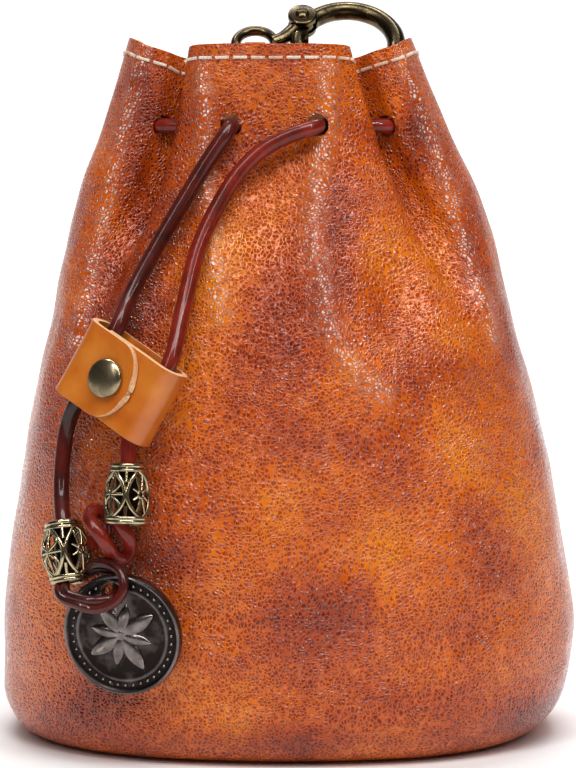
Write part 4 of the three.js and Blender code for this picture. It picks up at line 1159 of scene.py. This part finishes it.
# Blackened pewter stays dark in the hollows, and the star is worn to a soft grey shine.
dark_pewter = metal_material("blackened pewter", "#7d7471", "#26201f", 0.9, 5.0, 0.3, 0.06, (0.35, 0.95))
worn_pewter = metal_material("worn pewter", "#8f8581", "#433c39", 0.9, 2.5, 0.24, 0.05, (0.25, 0.8))
disc.data.materials.clear()
disc.data.materials.append(dark_pewter)
relief_piece.data.materials.append(worn_pewter)
disc = joined("pendant_disc_cast", [disc, relief_piece])
disc.data.transform(disc_place)
finish_piece(disc, angle=35, slot="dark_pewter", nodes=["pendant_disc"])

# Snap hook
# A cast snap hook of dark bronze-coloured brass. It leans back over the rim. An eye, a flat neck with a
# lug for the gate's pin, and a round bar bent into a hook that thins towards its tip.
EYE_RADIUS = 3.65
EYE_WIRE = 0.95
HOOK_RADIUS = 9.2
HOOK_WIRE = 1.75
HOOK_OFFSET = 17.1
PIVOT_ANGLE = 143
PIVOT_OUTSET = 1.2
PIVOT_LUG = 2.7
LUG_THICKNESS = 4.0
NECK_THICKNESS = 3.0
GATE_WIRE = 1.45
TONGUE = 1.3
GATE_START = 167
TIP_DROP = 4.9
HOOK_TILT = 45
hook_place = Matrix.Translation((-6.1 * MM, 10.2 * MM, (BAG_HEIGHT - 0.6) * MM)) @ Matrix.Rotation(
    math.radians(HOOK_TILT), 4, "X"
)


def on_hook(degrees, radius=HOOK_RADIUS):
    angle = math.radians(degrees)
    return np.array((HOOK_OFFSET + radius * math.cos(angle), radius * math.sin(angle), 0.0))


pivot = on_hook(PIVOT_ANGLE, HOOK_RADIUS + PIVOT_OUTSET)


def round_lug(radius, thickness, at, bevel=0.35):
    bpy.ops.mesh.primitive_cylinder_add(
        vertices=40, radius=radius * MM, depth=thickness * MM, location=Vector(at) * MM
    )
    lug = bpy.context.object
    bpy.ops.object.transform_apply(location=True)
    modify(lug, "BEVEL", width=bevel * MM, segments=3, angle_limit=math.radians(50))
    return lug


bpy.ops.mesh.primitive_torus_add(
    major_radius=EYE_RADIUS * MM, minor_radius=EYE_WIRE * MM, major_segments=56, minor_segments=16
)
eye = bpy.context.object
arch_angles = np.linspace(PIVOT_ANGLE - 2, -152, 64)
arch_radii = [HOOK_WIRE * (1 - 0.2 * smoothstep(-a, 110, 155)) for a in arch_angles]
arch = swept_bar([on_hook(a) for a in arch_angles], 1, 5, arch_radii)
neck_route = smooth_route([(EYE_RADIUS * 0.9, 0.6, 0), (5.4, 1.9, 0), (7.4, 4.2, 0), tuple(pivot * 0.97)], 6)
neck_radii = np.interp(np.linspace(0, 1, len(neck_route)), [0, 0.25, 0.7, 1], [1.25, 1.3, 1.6, 1.9])
neck = swept_bar(neck_route, 1, 4, neck_radii)
for vertex in neck.data.vertices:
    vertex.co.z *= 0.9
lug = round_lug(PIVOT_LUG, LUG_THICKNESS, pivot)
bpy.ops.mesh.primitive_cylinder_add(
    vertices=40, radius=(PIVOT_LUG + GAP) * MM, depth=(TONGUE + 2 * GAP) * MM, location=Vector(pivot) * MM
)
slot_cutter = bpy.context.object
bpy.ops.object.transform_apply(location=True)
bpy.ops.mesh.primitive_cube_add(
    size=1, location=((HOOK_OFFSET - HOOK_RADIUS) * MM, -TIP_DROP / 2 * MM, 0)
)
tip_cutter = bpy.context.object
tip_cutter.scale = (HOOK_RADIUS * MM, TIP_DROP * MM, 4 * HOOK_WIRE * MM)
bpy.ops.object.transform_apply(location=True, scale=True)

combine(arch, tip_cutter)
hook = lug
for part in (neck, arch, eye):
    combine(hook, part, "UNION")
combine(hook, slot_cutter)
hook.name = "snap_hook"
hook.data.transform(hook_place)
# Bronzed brass is nearly black in its hollows and shows warm metal on its round bars.
dark_brass = metal_material("dark bronzed brass", "#6e5f44", "#241c13", 0.7, 2.6, 0.22, 0.04)
finish_piece(hook, dark_brass, angle=40, slot="antique_brass", nodes=["hook_body"])

# Gate
# A sprung bar of the same brass that closes the hook. It turns inwards on its pin, and its flat
# tongue sits in the slot of the hook's lug.
tongue = round_lug(PIVOT_LUG - GAP, TONGUE, pivot, 0.2)
bar_top = on_hook(GATE_START)
gate_radii = [GATE_WIRE] * 22 + [GATE_WIRE * 0.92, GATE_WIRE * 0.8]
gate = swept_bar([on_hook(a) for a in np.linspace(GATE_START, 211, 24)], 1, 4, gate_radii)
bpy.ops.mesh.primitive_cube_add(
    size=1, location=((bar_top[0] + GATE_WIRE / 4) * MM, (pivot[1] + bar_top[1] - GATE_WIRE) / 2 * MM, 0)
)
link = bpy.context.object
link.scale = (2 * GATE_WIRE * MM, (pivot[1] - bar_top[1] + GATE_WIRE) * MM, TONGUE * MM)
bpy.ops.object.transform_apply(location=True, scale=True)
for part in (link, tongue):
    combine(gate, part, "UNION")
bpy.ops.mesh.primitive_cube_add(
    size=1, location=((HOOK_OFFSET - HOOK_RADIUS) * MM, (GAP - TIP_DROP - HOOK_RADIUS / 2) * MM, 0)
)
end_cutter = bpy.context.object
end_cutter.scale = (HOOK_RADIUS * MM, HOOK_RADIUS * MM, 4 * HOOK_WIRE * MM)
bpy.ops.object.transform_apply(location=True, scale=True)
combine(gate, end_cutter)
gate.name = "snap_gate"
gate.data.transform(hook_place)
finish_piece(gate, dark_brass, angle=40, body="gate", slot="antique_brass", nodes=["hook_gate"])

# Gate pin
# A steel pin with a low round head at each end, brassed with the hook. It is riveted through the lug
# and carries the gate's tongue.
pin_half = LUG_THICKNESS / 2 + 0.05
head = [(1.3 * math.sin(a), 0.55 * math.cos(a)) for a in np.radians(np.linspace(90, 0, 8))]
pin_profile = [(0, -pin_half - 0.55)] + [(r, -pin_half - h) for r, h in reversed(head)][1:]
pin_profile += [(0.7, -pin_half), (0.7, pin_half)] + [(r, pin_half + h) for r, h in head]
pin = turned_piece("gate_pin", pin_profile, 32, hook_place @ Matrix.Translation(Vector(pivot) * MM))
finish_piece(pin, dark_brass, angle=40, slot="antique_brass", nodes=["hook_pin"])

# Hanger tab
# A short strap of the smooth tan leather, folded round the eye of the hook and riveted inside the
# back, a little above the lacing.
TAB_HALF_WIDTH = 1.9
TAB_THICKNESS = 1.0
TAB_END = 3.2
HANGER_HEIGHT = LACING_HEIGHT + 5.7
HOOK_X, HOOK_Y, HOOK_Z = (value / MM for value in hook_place.translation)
wire_y = HOOK_Y - EYE_RADIUS * math.cos(math.radians(HOOK_TILT))
wire_z = HOOK_Z - EYE_RADIUS * math.sin(math.radians(HOOK_TILT))
eye_sag = EYE_RADIUS - math.sqrt(EYE_RADIUS**2 - TAB_HALF_WIDTH**2)
fold_radius = EYE_WIRE + eye_sag + 1.5 * GAP + TAB_THICKNESS / 2
tab_wall_y = at_level(HANGER_HEIGHT / BAG_HEIGHT)[1] * BAG_HALF_DEPTH * BACK_FOLDS[0][2] - WALL - GAP
plate_y = tab_wall_y - TAB_THICKNESS
ply = TAB_THICKNESS / 2 + 0.02
near, far = plate_y - ply, plate_y + ply
fold = [(far, HANGER_HEIGHT - TAB_END), (far, HANGER_HEIGHT), (far - 0.4, HANGER_HEIGHT + 3.2)]
fold += arc((wire_y, wire_z), (fold_radius, fold_radius), -50, 230, 17)
fold += [(near - 0.4, HANGER_HEIGHT + 3.2), (near, HANGER_HEIGHT), (near, HANGER_HEIGHT - TAB_END)]
fold = smooth_route([(HOOK_X, y, z) for y, z in fold], 3)
bpy.ops.mesh.primitive_grid_add(x_subdivisions=len(fold) - 1, y_subdivisions=6, size=1)
tab = bpy.context.object
tab.name = "hanger_tab_strap"
for vertex in tab.data.vertices:
    spot = fold[round((vertex.co.x + 0.5) * (len(fold) - 1))]
    vertex.co = Vector((spot[0] + vertex.co.y * 2 * TAB_HALF_WIDTH, spot[1], spot[2])) * MM
for side in ("grain side", "cut edge"):
    tab.data.materials.append(None)
modify(tab, "SOLIDIFY", thickness=(TAB_THICKNESS - 0.04) * MM, offset=0, material_offset_rim=1)
finish_piece(tab, smooth_leather, pale_edge, angle=45, slot="strap_leather", nodes=["hanger_tab"])

# Hanger rivet
# The brass rivet that holds the tab to the back. Its post goes through both plies of the tab and the
# leather, and it has a low cap inside and outside.
inner_cap = tab_wall_y - 2 * TAB_THICKNESS - GAP
outer_cap = tab_wall_y + 2 * WALL
cap = [(2.2 * math.sin(a), 0.9 * math.cos(a)) for a in np.radians(np.linspace(90, 0, 9))]
hanger_profile = [(r, inner_cap - h) for r, h in reversed(cap)] + [(0.8, inner_cap), (0.8, outer_cap)]
hanger_profile += [(r, outer_cap + h) for r, h in cap]
to_back = Matrix.Translation((HOOK_X * MM, 0, HANGER_HEIGHT * MM)) @ Matrix.Rotation(-math.pi / 2, 4, "X")
hanger_rivet = turned_piece("hanger_rivet_brass", hanger_profile, 32, to_back)
finish_piece(hanger_rivet, rivet_brass, angle=40, slot="rivet_brass", nodes=["hanger_rivet"])

# Studio
# A pale floor that runs up into a pale wall, a narrow soft box on each side whose light runs down the
# ridges, a wide one above, and one on the wall.
bpy.ops.mesh.primitive_plane_add(size=10, location=(0, -1.5, -0.0002))
floor = bpy.context.object
floor.name = "studio_floor"
bpy.ops.object.mode_set(mode="EDIT")
bpy.ops.mesh.select_all(action="DESELECT")
bpy.ops.object.mode_set(mode="OBJECT")
for edge in floor.data.edges:
    edge.select = all(floor.data.vertices[i].co.y > 0 for i in edge.vertices)
bpy.ops.object.mode_set(mode="EDIT")
bpy.ops.mesh.extrude_region_move(TRANSFORM_OT_translate={"value": (0, 0, 4)})
bpy.ops.object.mode_set(mode="OBJECT")
modify(floor, "BEVEL", width=1.6, segments=24, limit_method="NONE")
bpy.ops.object.shade_smooth()
# Matt card gives an even white with hardly any tint or shine.
card, shader, place = new_material("matt white card")
mottle = add_node(card, "ShaderNodeTexNoise", {"Scale": 1 / (110 * MM), "Detail": 3.0}, {"Vector": place})
card_colour = add_node(
    card, "ShaderNodeValToRGB", {"stops": [(0.3, "#fbfaf9"), (0.7, "#ffffff")]}, {0: mottle}
)
connect(card, shader, {"Roughness": 0.95}, {"Base Color": card_colour})
floor.data.materials.append(card)

world = bpy.data.worlds.new("bright room")
world.use_nodes = True
sky = world.node_tree.nodes["Background"]
sky.inputs["Color"].default_value = linear("#ffffff")
sky.inputs["Strength"].default_value = 0.06
bpy.context.scene.world = world
bpy.context.scene.view_settings.view_transform = "Standard"

for name, at, size, power in (
    ("left_softbox", (-0.3, -0.5, 0.62), (0.028, 0.5), 1.3),
    ("right_softbox", (0.34, -0.46, 0.62), (0.028, 0.5), 1.5),
    ("top_softbox", (0.05, -0.45, 0.85), (0.5, 0.35), 4.3),
    ("wall_softbox", (0.0, 0.6, 1.9), (1.5, 0.8), 85.0),
):
    bpy.ops.object.light_add(type="AREA", location=at)
    lamp = bpy.context.object
    lamp.name = name
    lamp.data.shape = "RECTANGLE"
    lamp.data.size, lamp.data.size_y = size
    lamp.data.energy = power
    target = Vector((0, 2.6, 0.6)) if name == "wall_softbox" else Vector((0, 0, 0.06))
    lamp.rotation_euler = (target - Vector(at)).to_track_quat("-Z", "Y").to_euler()
